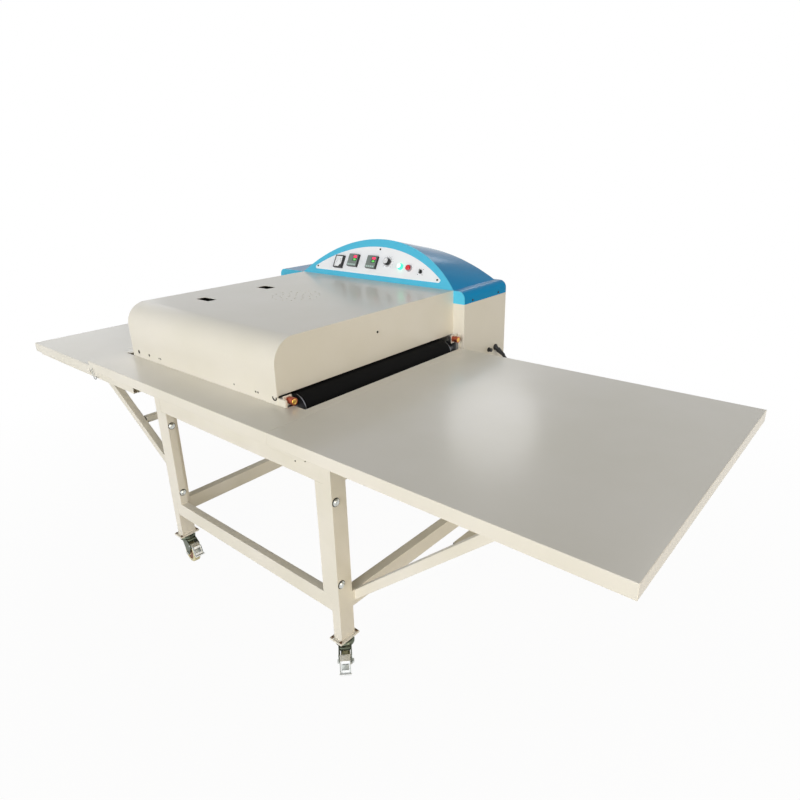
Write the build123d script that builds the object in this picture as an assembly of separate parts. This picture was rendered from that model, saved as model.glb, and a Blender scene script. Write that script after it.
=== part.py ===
from build123d import *
from math import atan2, cos, pi, radians, sin, sqrt, tan
import os

# A belt fusing press on a castor stand: cloth goes in over the left table, between two heated belts
# under the flat cover, and comes out over the right table. The control hood stands along the back.
# X runs with the cloth, from infeed to outlet, Y from the operator's side to the back, Z up.
# The origin is on the floor, under the middle of the press. All sizes are in millimetres.

# The three tables
LEFT_TABLE = 488.0
CENTRE_TABLE = 994.0
RIGHT_TABLE = 912.0
TABLE_DEPTH = 880.0
TABLE_TOP = 723.5
TABLE_RISE = 84.5
INFEED_DROP = 15.0
FLANGE = 33.0
TABLE_SHEET = 2.0
ARM_HEIGHT = 38.0
ARM_DEPTH = 25.0
LEFT_ARM_START = 47.0
LEFT_ARM_REACH = 306.0
RIGHT_ARM_REACH = 137.0
BRACE_TUBE = 25.0
LEFT_BRACE_SLOPE = 33.6
LEFT_BRACE_FOOT = 326.0
RIGHT_BRACE_SLOPE = 40.9
RIGHT_BRACE_FOOT = 212.0
LEFT_CROSS_BAR = 204.0
RIGHT_CROSS_BAR = 322.0
LEFT_CROSS_RAISE = 9.0
STRIP_IN = 17.0
STRIP_OUT = 37.5

# The stand
STAND_LENGTH = 844.0
STAND_DEPTH = 832.0
STAND_SETBACK = 71.0
STAND_SHIFT = 8.5
LEG_WIDTH = 30.0
LEG_DEPTH = 50.0
RAIL_HEIGHT = 50.0
RAIL_DEPTH = 25.0
LOWER_RAIL = 196.5
TUBE_WALL = 2.0
UPPER_BOLT_DROP = 97.0
LOWER_BOLT = 291.0
BOLT_RADIUS = 5.0
BOLT_HEAD = 12.0
BOLT_SETBACK = 12.5
FOOT_PLATE = 5.0
FOOT_OVERHANG_X = 8.0
FOOT_OVERHANG_Y = 11.0
FOOT_SLOT = 9.0
FOOT_SLOT_RADIUS = 2.5

# The castors
CASTOR_HEIGHT = 103.0
WHEEL_RADIUS = 37.5
WHEEL_WIDTH = 24.0
HUB_RADIUS = 11.0
HUB_WIDTH = 29.0
AXLE_RADIUS = 4.0
KINGPIN_RADIUS = 6.0
TRAIL = 26.0
FORK_GAP = 31.0
FORK_SHEET = 2.5
PEDAL_PIVOT_OUT = 47.0
PEDAL_PIVOT_UP = 75.0
PEDAL_PIN = 3.0
PEDAL_REACH = 42.0
PEDAL_FALL = 28.0
PEDAL_LIP = 2.5

# The press head: cover, side plates, belts and rollers
COVER_LENGTH = 808.0
COVER_DEPTH = 817.0
COVER_SETBACK = 134.0
COVER_FROM_SEAM = 118.0
COVER_HEIGHT = 183.7
COVER_CORNER = 73.0
COVER_SHEET = 1.5
COVER_SLOTS = ((754.5, 348.8, 75.0, 37.0), (758.7, 613.9, 64.0, 43.0))
VENT_FROM_SEAM = 534.4
VENT_FROM_FRONT = 572.0
VENT_RING = 28.0
VENT_RADIUS = 3.5
FRONT_HOLE_RISE = 19.5
FRONT_HOLES = ((-598.0, 7.0), (-527.0, 5.5), (-462.0, 3.5), (-451.0, 3.5), (-33.0, 3.0), (70.0, 3.5), (81.0, 3.5))
OUTLET_EDGE = 26.0
PLATE_SHOULDER = 21.0
INFEED_EDGE = 51.5
PLATE = 6.0
PLATE_END_OUT = 32.0
PLATE_END_IN = 49.0
PLATE_HEIGHT = 188.0
PAN_SHEET = 3.0
PAN_LIP = 22.0
BELT = 1.7
BELT_WIDTH = 674.0
BELT_INSET = 63.0
LOWER_ROLLER = 41.0
UPPER_ROLLER = 33.0
PRESSURE_ROLLER = 30.0
LOWER_OUT_X = 5.3
LOWER_IN_X = 4.0
UPPER_OUT_X = 97.0
UPPER_IN_X = 51.0
BELT_RISE = 19.7
NIP = 1.2
ROLLER_WALL = 4.0
ROLLER_SHAFT = 10.0
BLOCK_SIZE = 44.0
BLOCK_DEPTH = 14.0
HEATER_WIDTH = 185.0
HEATER_GAP = 10.0
HEATER_THICK = 10.0
HEATER_START = 86.0
HEATER_COUNT = 3
ADJUSTER_HEAD = 11.0
ADJUSTER_LENGTH = 14.0
ADJUSTER_INSET = 21.5
ADJUSTER_RISE = 16.1
ADJUSTER_END = 46.0

# The drive in the control box
SPROCKET_PITCH = 12.7
ROLLER_TEETH = 16
MOTOR_TEETH = 10
CHAIN_ROLLER = 4.2
SPROCKET_THICK = 7.0
LINK_SHEET = 1.5
LINK_HEIGHT = 11.0
MOTOR_DOWN = 68.2
MOTOR_BACK = 72.0
GEARBOX = 90.0
GEARBOX_DEPTH = 70.0
MOTOR_RADIUS = 38.0
MOTOR_LENGTH = 110.0
MOTOR_SHAFT = 7.0

# The control box and hood
BOX_LENGTH = 1019.0
BOX_DEPTH = 280.0
BOX_FROM_SEAM = 69.0
BOX_HEIGHT = 276.0
BOX_SHEET = 2.0
LOUVRE_LENGTH = 70.0
LOUVRE_WIDTH = 5.0
LOUVRE_PITCH = 14.0
LOUVRE_COUNT = 8
LOUVRE_INSET = 130.0
LOUVRE_RISE = 55.0
HOOD_SHEET = 1.5
HOOD_HEIGHT = 46.2
HOOD_END_RADIUS = 27.0
ARCH_RISE = 170.6
ARCH_LEAN = 28.0
REAR_ARCH_RISE = 105.0
REAR_ARCH_INSET = 8.0

# The control panel and what it carries, measured along its lean from its foot
PANEL_LENGTH = 670.0
PANEL_FOOT = 21.0
PANEL_CORNER_UP = 33.0
PANEL_CROWN = 138.0
PANEL_SHEET = 1.5
METER_WIDTH = 47.0
METER_HEIGHT = 53.0
METER_X = -198.0
METER_UP = 59.4
CONTROLLER = 51.5
CONTROLLER_XS = (-118.3, -15.0)
CONTROLLER_UP = 70.4
CONTROLLER_PROUD = 12.0
INSTRUMENT_BODY = 44.0
INSTRUMENT_DEPTH = 60.0
KNOB_X = 63.5
KNOB_UP = 79.0
KNOB_RADIUS = 15.5
KNOB_HEIGHT = 19.0
DIAL_RADIUS = 20.5
GREEN_X = 133.5
GREEN_UP = 65.5
RED_X = 177.7
RED_UP = 62.9
BUTTON_RADIUS = 8.5
BUTTON_PROUD = 10.0
BUTTON_TRAVEL = 3.0
BEZEL_RADIUS = 12.5
BEZEL_HEIGHT = 4.0
SELECTOR_X = 235.5
SELECTOR_UP = 54.1
SELECTOR_RADIUS = 7.5

# The sheet screws
SCREW_RADIUS = 2.0
SCREW_LENGTH = 8.0
SCREW_HEAD = 3.8
SCREW_HEAD_HEIGHT = 2.2
HOOD_SCREW_FRONT = 51.3
HOOD_SCREW_BACK = 224.0
HOOD_SCREW_RISE = 9.0
COVER_SCREW_IN = 409.8
COVER_SCREW_DROP = 64.5
PANEL_SCREW_X = 322.0

# The mains lead
CORD_RADIUS = 5.5
GLAND_Y_FROM_BACK = 65.5
GLAND_RISE = 71.0
GLAND_RADIUS = 12.0
GLAND_FLANGE = 4.0
GLAND_LENGTH = 16.0
GLAND_DROOP = 34.0
FUSE_FROM_GLAND = 46.7
FUSE_RADIUS = 9.0
FUSE_LENGTH = 14.0
COIL_RADIUS = 72.0
COIL_STEP = 11.8
COIL_CENTRE = (450.0, 530.0)
COIL_RUN_IN = 11.0
COIL_RUN_OUT = 58.0
PLUG_LENGTH = 48.0
PLUG_RADIUS = 17.0

# Clearances: a running fit, a gap between moving faces, and a loose sheet-metal gap
FIT = 0.05
GAP = 0.3
LOOSE = 1.0

x_left = -(LEFT_TABLE + CENTRE_TABLE + RIGHT_TABLE) / 2
x_in = x_left + LEFT_TABLE
x_out = x_in + CENTRE_TABLE
x_right = x_out + RIGHT_TABLE
y_front = -(COVER_SETBACK + COVER_DEPTH + BOX_DEPTH) / 2
y_table_back = y_front + TABLE_DEPTH
underside = TABLE_TOP - TABLE_SHEET
left_underside = underside - INFEED_DROP

stand_left = STAND_SHIFT - STAND_LENGTH / 2
stand_right = STAND_SHIFT + STAND_LENGTH / 2
stand_front = y_front + STAND_SETBACK
stand_back = stand_front + STAND_DEPTH
stand_top = TABLE_TOP - TABLE_RISE
foot_top = CASTOR_HEIGHT + FOOT_PLATE

cover_right = x_out - COVER_FROM_SEAM
cover_left = cover_right - COVER_LENGTH
cover_front = y_front + COVER_SETBACK
cover_back = cover_front + COVER_DEPTH
cover_top = TABLE_TOP + COVER_HEIGHT
pan_top = stand_top + PAN_SHEET
plate_front = cover_front + COVER_SHEET
plate_back = cover_back - PLATE
plate_left = cover_left - PLATE_END_IN
plate_right = cover_right + PLATE_END_OUT
shoulder = TABLE_TOP + PLATE_SHOULDER

belt_front = cover_front + BELT_INSET
belt_back = belt_front + BELT_WIDTH
lower_outer = LOWER_ROLLER + GAP + BELT
upper_outer = UPPER_ROLLER + GAP + BELT
lower_z = TABLE_TOP + BELT_RISE - lower_outer
upper_z = TABLE_TOP + BELT_RISE + NIP + upper_outer
pressure_z = lower_z + LOWER_ROLLER - PRESSURE_ROLLER
lower_out_x = cover_right + LOWER_OUT_X
lower_in_x = cover_left + LOWER_IN_X
upper_out_x = cover_right - UPPER_OUT_X
upper_in_x = cover_left + UPPER_IN_X

box_right = x_out - BOX_FROM_SEAM
box_left = box_right - BOX_LENGTH
box_back = cover_back + BOX_DEPTH
box_top = cover_top - HOOD_HEIGHT
box_bottom = box_top - BOX_HEIGHT
arch_middle = (cover_left + cover_right) / 2


STAND_UP = (Align.CENTER, Align.CENTER, Align.MIN)
HANG_DOWN = (Align.CENTER, Align.CENTER, Align.MAX)


def block(x0, x1, y0, y1, z0, z1):
    return Pos((x0 + x1) / 2, (y0 + y1) / 2, (z0 + z1) / 2) * Box(x1 - x0, y1 - y0, z1 - z0)


def tube(x0, x1, y0, y1, z0, z1, along):
    """A rectangular tube, open at both ends, that runs along one axis."""
    wall = {a: 0 if a == along else TUBE_WALL for a in "xyz"}
    return block(x0, x1, y0, y1, z0, z1) - block(
        x0 + wall["x"], x1 - wall["x"], y0 + wall["y"], y1 - wall["y"], z0 + wall["z"], z1 - wall["z"]
    )


def rod_x(x0, x1, y, z, radius):
    return Pos((x0 + x1) / 2, y, z) * Rot(0, 90, 0) * Cylinder(radius, x1 - x0)


def rod_y(y0, y1, x, z, radius):
    return Pos(x, (y0 + y1) / 2, z) * Rot(90, 0, 0) * Cylinder(radius, y1 - y0)


def rod_z(z0, z1, x, y, radius):
    return Pos(x, y, (z0 + z1) / 2) * Cylinder(radius, z1 - z0)


def profile_xz(points, y0, y1):
    """A closed outline in X and Z, drawn out along Y."""
    face = make_face(Polyline([(x, 0, z) for x, z in points], close=True))
    return Pos(0, y0, 0) * extrude(face, amount=y1 - y0, dir=(0, 1, 0))


# The stand: a front and a back frame of box tube, each with rails and two uprights, bolted
# between two side frames of legs and rails. A plate closes each leg's foot.
def leg_places():
    left, right = stand_left, stand_right - LEG_WIDTH
    front, back = stand_front, stand_back - LEG_DEPTH
    return [(left, front), (right, front), (left, back), (right, back)]


def upright_places():
    inner = (stand_left + LEG_WIDTH, stand_right - 2 * LEG_WIDTH)
    return [(x, y) for y in (stand_front, stand_back - RAIL_DEPTH) for x in inner]


def bolt_places():
    """The X of each bolt's nut face and head face, then its Y and Z."""
    rows = (stand_front + BOLT_SETBACK, stand_back - BOLT_SETBACK)
    sides = ((stand_left, stand_left + 2 * LEG_WIDTH), (stand_right - 2 * LEG_WIDTH, stand_right))
    return [(x0, x1, y, z) for x0, x1 in sides for y in rows for z in (stand_top - UPPER_BOLT_DROP, LOWER_BOLT)]


def bolt_holes():
    return [rod_x(x0 - 1, x1 + 1, y, z, BOLT_RADIUS + GAP) for x0, x1, y, z in bolt_places()]


def legs():
    parts = []
    for x, y in leg_places():
        top = underside if y == stand_front else stand_top
        leg = tube(x, x + LEG_WIDTH, y, y + LEG_DEPTH, foot_top, top, "z")
        parts.append(leg - bolt_holes())
    return Compound(children=parts)


def frame_rails(y):
    inner_left, inner_right = stand_left + LEG_WIDTH, stand_right - LEG_WIDTH
    rails = [
        tube(inner_left, inner_right, y, y + RAIL_DEPTH, z, z + RAIL_HEIGHT, "x")
        for z in (LOWER_RAIL, stand_top - RAIL_HEIGHT)
    ]
    return Compound(children=rails)


def side_rails():
    rails = []
    for x in (stand_left, stand_right - LEG_WIDTH):
        for z in (LOWER_RAIL, stand_top - RAIL_HEIGHT):
            y0, y1 = stand_front + LEG_DEPTH, stand_back - LEG_DEPTH
            rails.append(tube(x, x + LEG_WIDTH, y0, y1, z, z + RAIL_HEIGHT, "y"))
    return Compound(children=rails)


def frame_uprights():
    parts = []
    for x, y in upright_places():
        z0, z1 = LOWER_RAIL + RAIL_HEIGHT, stand_top - RAIL_HEIGHT
        upright = tube(x, x + LEG_WIDTH, y, y + RAIL_DEPTH, z0, z1, "z")
        parts.append(upright - bolt_holes())
    return Compound(children=parts)


def foot_plates():
    plates = []
    for x, y in leg_places():
        plate = block(
            x - FOOT_OVERHANG_X,
            x + LEG_WIDTH + FOOT_OVERHANG_X,
            y - FOOT_OVERHANG_Y,
            y + LEG_DEPTH + FOOT_OVERHANG_Y,
            CASTOR_HEIGHT,
            foot_top,
        )
        cx, cy = x + LEG_WIDTH / 2, y + LEG_DEPTH / 2
        plate -= rod_z(CASTOR_HEIGHT - 1, foot_top + 1, cx, cy, KINGPIN_RADIUS + FIT)
        for row in (y - FOOT_OVERHANG_Y / 2, y + LEG_DEPTH + FOOT_OVERHANG_Y / 2):
            for end in (x, x + LEG_WIDTH):
                slot = Pos(end, row, foot_top) * extrude(
                    SlotOverall(FOOT_SLOT, 2 * FOOT_SLOT_RADIUS), amount=2 * FOOT_PLATE, both=True
                )
                plate -= slot
        plates.append(plate)
    return Compound(children=plates)


def frame_bolts():
    """Coach bolts with domed heads, a washer and a hexagon nut each."""
    head_height = BOLT_HEAD / 2
    washer = 2.0
    nut_height = 8.0
    bolts = []
    for nut_x, head_x, y, z in bolt_places():
        shank = rod_x(nut_x - washer - nut_height - 3, head_x, y, z, BOLT_RADIUS)
        dome = Pos(head_x, y, z) * Rot(0, 90, 0) * Cone(
            BOLT_HEAD, BOLT_HEAD * 0.55, head_height, align=STAND_UP
        )
        ring = rod_x(nut_x - washer, nut_x, y, z, BOLT_HEAD)
        hexagon = Pos(nut_x - washer - nut_height, y, z) * Rot(0, 90, 0) * extrude(
            RegularPolygon(9.8, 6), amount=nut_height
        )
        bolts.append(shank + dome + ring + hexagon)
    return Compound(children=bolts)


# The castors: a pressed fork turns on a kingpin under the foot plate, the wheel turns on its
# axle, and a pedal hinged across the fork brakes the wheel. Each is built facing +X at the origin.
def castor_fork():
    top, cup = CASTOR_HEIGHT - 11, CASTOR_HEIGHT - 5
    plate = rod_z(top, cup, 0, 0, 24)
    race = rod_z(cup, CASTOR_HEIGHT - GAP, 0, 0, 19)
    kingpin = rod_z(CASTOR_HEIGHT - GAP, foot_top + 6, 0, 0, KINGPIN_RADIUS)
    cheek_outline = [
        (-17, top + 1),
        (23, top + 1),
        (PEDAL_PIVOT_OUT + 6, PEDAL_PIVOT_UP + 4),
        (PEDAL_PIVOT_OUT + 6, PEDAL_PIVOT_UP - 6),
        (TRAIL + 9, WHEEL_RADIUS - 4),
        (TRAIL - 4, WHEEL_RADIUS - 9),
        (TRAIL - 10, WHEEL_RADIUS),
    ]
    fork = plate + race + kingpin
    for side in (-1, 1):
        inner = side * FORK_GAP / 2
        outer = inner + side * FORK_SHEET
        fork += profile_xz(cheek_outline, min(inner, outer), max(inner, outer))
    reach = FORK_GAP / 2 + FORK_SHEET + 3
    fork += rod_y(-reach, reach, TRAIL, WHEEL_RADIUS, AXLE_RADIUS)
    pin_hole = rod_y(-reach, reach, PEDAL_PIVOT_OUT, PEDAL_PIVOT_UP, PEDAL_PIN + FIT)
    return fork - pin_hole


def castor_wheel():
    tread = rod_y(-WHEEL_WIDTH / 2, WHEEL_WIDTH / 2, TRAIL, WHEEL_RADIUS, WHEEL_RADIUS)
    tread = chamfer(tread.edges().filter_by(GeomType.CIRCLE), 3)
    disc_cut = WHEEL_RADIUS - 11
    for side in (-1, 1):
        face = side * WHEEL_WIDTH / 2
        inner = face - side * 4
        y0, y1 = sorted((face + side, inner))
        tread -= rod_y(y0, y1, TRAIL, WHEEL_RADIUS, disc_cut)
    hub = rod_y(-HUB_WIDTH / 2, HUB_WIDTH / 2, TRAIL, WHEEL_RADIUS, HUB_RADIUS)
    bore = rod_y(-HUB_WIDTH, HUB_WIDTH, TRAIL, WHEEL_RADIUS, AXLE_RADIUS + FIT)
    return tread + hub - bore


def castor_pedal():
    px, pz = PEDAL_PIVOT_OUT, PEDAL_PIVOT_UP
    half = FORK_GAP / 2 - 1
    reach = FORK_GAP / 2 + FORK_SHEET + 1
    tip_x, tip_z = px + PEDAL_REACH, pz - PEDAL_FALL
    arm = [(px, pz + 5), (px + 20, pz + 1), (tip_x - 9, tip_z + 2), (tip_x, tip_z + 4), (tip_x, tip_z)]
    arm += [(tip_x - 14, tip_z - 4), (px + 15, pz - 5), (px, pz - 4)]
    pedal = profile_xz(arm, -half, half)
    tread_middle = Pos(px + 26.5, 0, pz - 12) * Rot(0, 64.3, 0)
    pedal -= tread_middle * Pos(0, 0, 3.5) * Box(18, 2 * half - 8, 3)
    lip = rod_y(-half - PEDAL_LIP, half + PEDAL_LIP, tip_x - 1.5, tip_z + 2, 2.2)
    return pedal + lip + rod_y(-reach, reach, px, pz, PEDAL_PIN)


def castor_places():
    """Each corner's name and the place of its castor, turned as the castors stand in the photograph."""
    headings = {"front_left": -6, "front_right": -45, "back_left": 100, "back_right": 75}
    feet = [Pos(x + LEG_WIDTH / 2, y + LEG_DEPTH / 2, 0) for x, y in leg_places()]
    return {name: foot * Rot(0, 0, heading) for (name, heading), foot in zip(headings.items(), feet)}


# The tables: folded sheet with a flange all round. The seam ends are notched for the arms.
def table(x0, x1, top, left_seam, right_seam):
    low, under = top - FLANGE, top - TABLE_SHEET
    sheet = block(x0, x1, y_front, y_table_back, under, top)
    sheet += block(x0, x1, y_front, y_front + TABLE_SHEET, low, under)
    sheet += block(x0, x1, y_table_back - TABLE_SHEET, y_table_back, low, under)
    arm_space = TABLE_SHEET + ARM_DEPTH + LOOSE
    for x, seam in ((x0, left_seam), (x1 - TABLE_SHEET, right_seam)):
        inset = arm_space if seam else 0
        sheet += block(x, x + TABLE_SHEET, y_front + inset, y_table_back, low, under)
    return sheet


def left_table():
    return table(x_left, x_in, TABLE_TOP - INFEED_DROP, False, True)


def right_table():
    return table(x_out, x_right, TABLE_TOP, True, False)


def centre_table():
    """The middle table goes round the press head, which comes up through its open back."""
    whole = table(x_in, x_out, TABLE_TOP, True, True)
    low = TABLE_TOP - FLANGE - 1
    behind = y_table_back + 1
    head = block(x_in + STRIP_IN, plate_right + LOOSE, plate_front - LOOSE, behind, low, TABLE_TOP + 1)
    slot_end = belt_front - lower_outer + 8
    slot = block(plate_right, x_out - STRIP_OUT, slot_end, behind, low, TABLE_TOP + 1)
    return whole - head - slot


def table_arms():
    """A tube behind the front flange at each seam, which carries the side table's inner end."""
    y0 = y_front + TABLE_SHEET
    y1 = y0 + ARM_DEPTH
    low_left = left_underside - ARM_HEIGHT
    low_right = underside - ARM_HEIGHT
    left0, left1 = x_left + LEFT_ARM_START, x_in + LEFT_ARM_REACH
    right0, right1 = x_out - LEFT_ARM_REACH, x_out + RIGHT_ARM_REACH
    arms = [
        tube(left0, left1, y0, y1, low_left, left_underside, "x"),
        tube(right0, right1, y0, y1, low_right, underside, "x"),
    ]
    return Compound(children=arms)


# The braces: sloping square tubes from the stand to the outer halves of the two side tables.
def brace(foot_x, side, foot_z, slope, top_z, y0):
    """A sloping tube whose foot is cut upright and whose head is cut level."""
    rise = tan(radians(slope))
    upright = BRACE_TUBE / cos(radians(slope))
    head_low = foot_x + side * (top_z - foot_z) / rise
    head_high = foot_x + side * (top_z - foot_z - upright) / rise
    outline = [(foot_x, foot_z), (head_low, top_z), (head_high, top_z), (foot_x, foot_z + upright)]
    wall = TUBE_WALL / cos(radians(slope))
    inner_low = foot_x + side * (top_z - foot_z - wall) / rise
    inner_high = foot_x + side * (top_z - foot_z - upright + wall) / rise
    bore = [(foot_x, foot_z + wall), (inner_low, top_z), (inner_high, top_z), (foot_x, foot_z + upright - wall)]
    y1 = y0 + BRACE_TUBE
    return profile_xz(outline, y0, y1) - profile_xz(bore, y0 + TUBE_WALL, y1 - TUBE_WALL)


def left_brace_rows():
    """Each left brace stands on the outer face of a leg, flush with the leg's inner side."""
    return (stand_front + LEG_DEPTH - BRACE_TUBE, stand_back - LEG_DEPTH)


def right_brace_rows():
    """Each right brace stands on the outer face of the lower side rail."""
    inset = LEG_DEPTH + 8
    return (stand_front + inset, y_table_back - TABLE_SHEET - BRACE_TUBE)


def left_braces():
    rows = left_brace_rows()
    parts = [brace(stand_left, -1, LEFT_BRACE_FOOT, LEFT_BRACE_SLOPE, left_underside, y) for y in rows]
    return Compound(children=parts)


def right_braces():
    rows = right_brace_rows()
    parts = [brace(stand_right, 1, RIGHT_BRACE_FOOT, RIGHT_BRACE_SLOPE, underside, y) for y in rows]
    return Compound(children=parts)


def brace_cross_bars():
    bars = []
    left_foot = LEFT_BRACE_FOOT + LEFT_CROSS_RAISE
    sides = (
        (stand_left - LEFT_CROSS_BAR, left_brace_rows(), left_foot, LEFT_BRACE_SLOPE, LEFT_CROSS_BAR),
        (stand_right + RIGHT_CROSS_BAR, right_brace_rows(), RIGHT_BRACE_FOOT, RIGHT_BRACE_SLOPE, RIGHT_CROSS_BAR),
    )
    for x, rows, foot, slope, run in sides:
        middle = foot + run * tan(radians(slope)) + BRACE_TUBE / cos(radians(slope)) / 2
        half = BRACE_TUBE / 2 - LOOSE
        y0, y1 = rows[0] + BRACE_TUBE, rows[1]
        bars.append(tube(x - half, x + half, y0, y1, middle - half, middle + half, "y"))
    return Compound(children=bars)


# The press head: a sheet pan on the stand's top rails, with a steel plate along each side.
def base_pan():
    y0, y1 = stand_front, cover_back
    pan = block(plate_left, plate_right, y0, y1, stand_top, pan_top + PAN_LIP)
    pan -= block(
        plate_left + TABLE_SHEET,
        plate_right - TABLE_SHEET,
        y0 + TABLE_SHEET,
        y1 - PLATE,
        pan_top,
        pan_top + PAN_LIP + 1,
    )
    pan -= block(plate_left, plate_right, y1 - PLATE, y1, pan_top, pan_top + PAN_LIP + 1)
    pan -= block(plate_left, plate_right, plate_front, plate_front + PLATE, pan_top, pan_top + PAN_LIP + 1)
    leg = stand_left + LEG_WIDTH
    notch = block(
        stand_left - LOOSE, leg + LOOSE, y0 - 1, y0 + LEG_DEPTH + LOOSE, stand_top - 1, pan_top + PAN_LIP + 1
    )
    return pan - notch


def side_plate(y0):
    """A plate that stands on the pan, with a lower foot that reaches past the cover's ends."""
    top = pan_top + PLATE_HEIGHT
    inside = COVER_SHEET + LOOSE
    outline = [
        (plate_left, pan_top),
        (plate_right, pan_top),
        (plate_right, shoulder),
        (cover_right - inside, shoulder),
        (cover_right - inside, top),
        (cover_left + inside, top),
        (cover_left + inside, shoulder),
        (plate_left, shoulder),
    ]
    return profile_xz(outline, y0, y0 + PLATE)


def front_side_plate():
    return side_plate(plate_front)


def drive_hole(y0, y1):
    return rod_y(y0 - 1, y1 + 1, lower_out_x, lower_z, ROLLER_SHAFT + 4)


def rear_side_plate():
    return side_plate(plate_back) - drive_hole(plate_back, cover_back)


# The belts and rollers: each belt is an endless coated band round a roller at each end, and a
# third roller in the lower belt presses it up against the upper one, after the heated plates.
def roller_places():
    return {
        "lower_outlet_roller": (lower_out_x, lower_z, LOWER_ROLLER),
        "lower_infeed_roller": (lower_in_x, lower_z, LOWER_ROLLER),
        "upper_outlet_roller": (upper_out_x, upper_z, UPPER_ROLLER),
        "upper_infeed_roller": (upper_in_x, upper_z, UPPER_ROLLER),
        "pressure_roller": (upper_out_x, pressure_z, PRESSURE_ROLLER),
    }


def roller(name):
    x, z, radius = roller_places()[name]
    y0, y1 = belt_front - 4, belt_back + 4
    end = 8.0
    drum = rod_y(y0, y1, x, z, radius) - rod_y(y0 + end, y1 - end, x, z, radius - ROLLER_WALL)
    shaft_front = plate_front + PLATE + GAP
    if name != "lower_outlet_roller":
        return drum + rod_y(shaft_front, plate_back - GAP, x, z, ROLLER_SHAFT)
    shaft = rod_y(shaft_front, sprocket_front() + SPROCKET_THICK + 4, x, z, ROLLER_SHAFT)
    return Compound(children=[drum + shaft, roller_sprocket()])


def band(x0, x1, z, outer):
    """An endless belt round two equal rollers."""
    def loop(radius):
        straight = block(x0, x1, belt_front, belt_back, z - radius, z + radius)
        ends = rod_y(belt_front, belt_back, x0, z, radius) + rod_y(belt_front, belt_back, x1, z, radius)
        return straight + ends

    return loop(outer) - loop(outer - BELT)


def lower_belt():
    return band(lower_in_x, lower_out_x, lower_z, lower_outer)


def upper_belt():
    return band(upper_in_x, upper_out_x, upper_z, upper_outer)


def bearing_blocks():
    """A block with a plain bore for each shaft end, and an ear for each belt adjuster."""
    half = BLOCK_SIZE / 2
    inner_front = plate_front + PLATE
    rows = ((inner_front, inner_front + BLOCK_DEPTH), (plate_back - BLOCK_DEPTH, plate_back))
    blocks = []
    for x, z, radius in roller_places().values():
        for y0, y1 in rows:
            bearing = block(x - half, x + half, y0, y1, z - half, z + half)
            if radius == PRESSURE_ROLLER:
                bearing = block(x - half, x + half, y0, y1, z - half, z + half - 2)
            blocks.append(bearing - rod_y(y0 - 1, y1 + 1, x, z, ROLLER_SHAFT + FIT))
    for y0, y1 in (adjuster_ear(True), adjuster_ear(False)):
        y = adjuster_y(y0 == inner_front)
        x1 = adjuster_x()
        ear = block(x1 - 12, x1, y0, y1, adjuster_z() - 10, adjuster_z() + 9)
        blocks.append(ear - rod_x(x1 - 13, x1 + 1, y, adjuster_z(), AXLE_RADIUS + FIT))
    return Compound(children=blocks)


def heater_plates():
    """Aluminium plates with a heating channel along each side, held between the side plates."""
    y0, y1 = plate_front + PLATE, plate_back
    lower_top = lower_z + LOWER_ROLLER
    upper_low = upper_z - UPPER_ROLLER
    plates = []
    for index in range(HEATER_COUNT):
        x0 = cover_left + HEATER_START + index * (HEATER_WIDTH + HEATER_GAP)
        x1 = x0 + HEATER_WIDTH
        lower = block(x0, x1, y0, y1, lower_top - HEATER_THICK, lower_top)
        upper = block(x0, x1, y0, y1, upper_low, upper_low + HEATER_THICK)
        for quarter in (0.25, 0.75):
            x = x0 + quarter * HEATER_WIDTH
            lower += block(x - 9, x + 9, y0, y1, lower_top - HEATER_THICK - 8, lower_top - HEATER_THICK)
            upper += block(x - 9, x + 9, y0, y1, upper_low + HEATER_THICK, upper_low + HEATER_THICK + 8)
        plates += [lower, upper]
    return Compound(children=plates)


# The belt adjusters: knurled brass screws at the outlet corners, each turning in its ear.
def adjuster_x():
    return cover_right + ADJUSTER_END - ADJUSTER_LENGTH - 11


def adjuster_z():
    return TABLE_TOP + ADJUSTER_RISE


def adjuster_y(front):
    return cover_front + ADJUSTER_INSET if front else cover_back - PLATE - ADJUSTER_LENGTH - 11


def adjuster_ear(front):
    if front:
        return plate_front + PLATE, adjuster_y(True) + 10
    return adjuster_y(False) - 10, plate_back


def belt_adjuster(front):
    x1, y, z = adjuster_x(), adjuster_y(front), adjuster_z()
    screw = rod_x(x1 - 18, x1 + 2, y, z, AXLE_RADIUS)
    collar = rod_x(x1 + GAP, x1 + 11, y, z, ADJUSTER_HEAD * 0.7)
    head = rod_x(x1 + 11, x1 + 11 + ADJUSTER_LENGTH, y, z, ADJUSTER_HEAD)
    return screw + collar + head


# The drive: a gear motor on the box floor turns the lower outlet roller by a roller chain.
def sprocket_front():
    return cover_back + BOX_SHEET + 8


def pitch_radius(teeth):
    return SPROCKET_PITCH / 2 / sin(pi / teeth)


def sprocket(x, z, teeth, bore):
    """A chain wheel: a disc with a round seat for each chain roller."""
    y0 = sprocket_front()
    y1 = y0 + SPROCKET_THICK
    radius = pitch_radius(teeth)
    wheel = rod_y(y0, y1, x, z, radius + 3)
    seats = []
    for tooth in range(teeth):
        angle = 2 * pi * tooth / teeth
        seats.append(rod_y(y0 - 1, y1 + 1, x + radius * cos(angle), z + radius * sin(angle), CHAIN_ROLLER))
    return wheel - seats - rod_y(y0 - 1, y1 + 1, x, z, bore)


def motor_place():
    return lower_out_x - MOTOR_BACK, lower_z - MOTOR_DOWN


def roller_sprocket():
    return sprocket(lower_out_x, lower_z, ROLLER_TEETH, ROLLER_SHAFT + FIT)


def motor_sprocket():
    x, z = motor_place()
    wheel = sprocket(x, z, MOTOR_TEETH, MOTOR_SHAFT - 1)
    front = sprocket_front()
    return wheel + rod_y(front, front + SPROCKET_THICK + 30, x, z, MOTOR_SHAFT)


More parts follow.
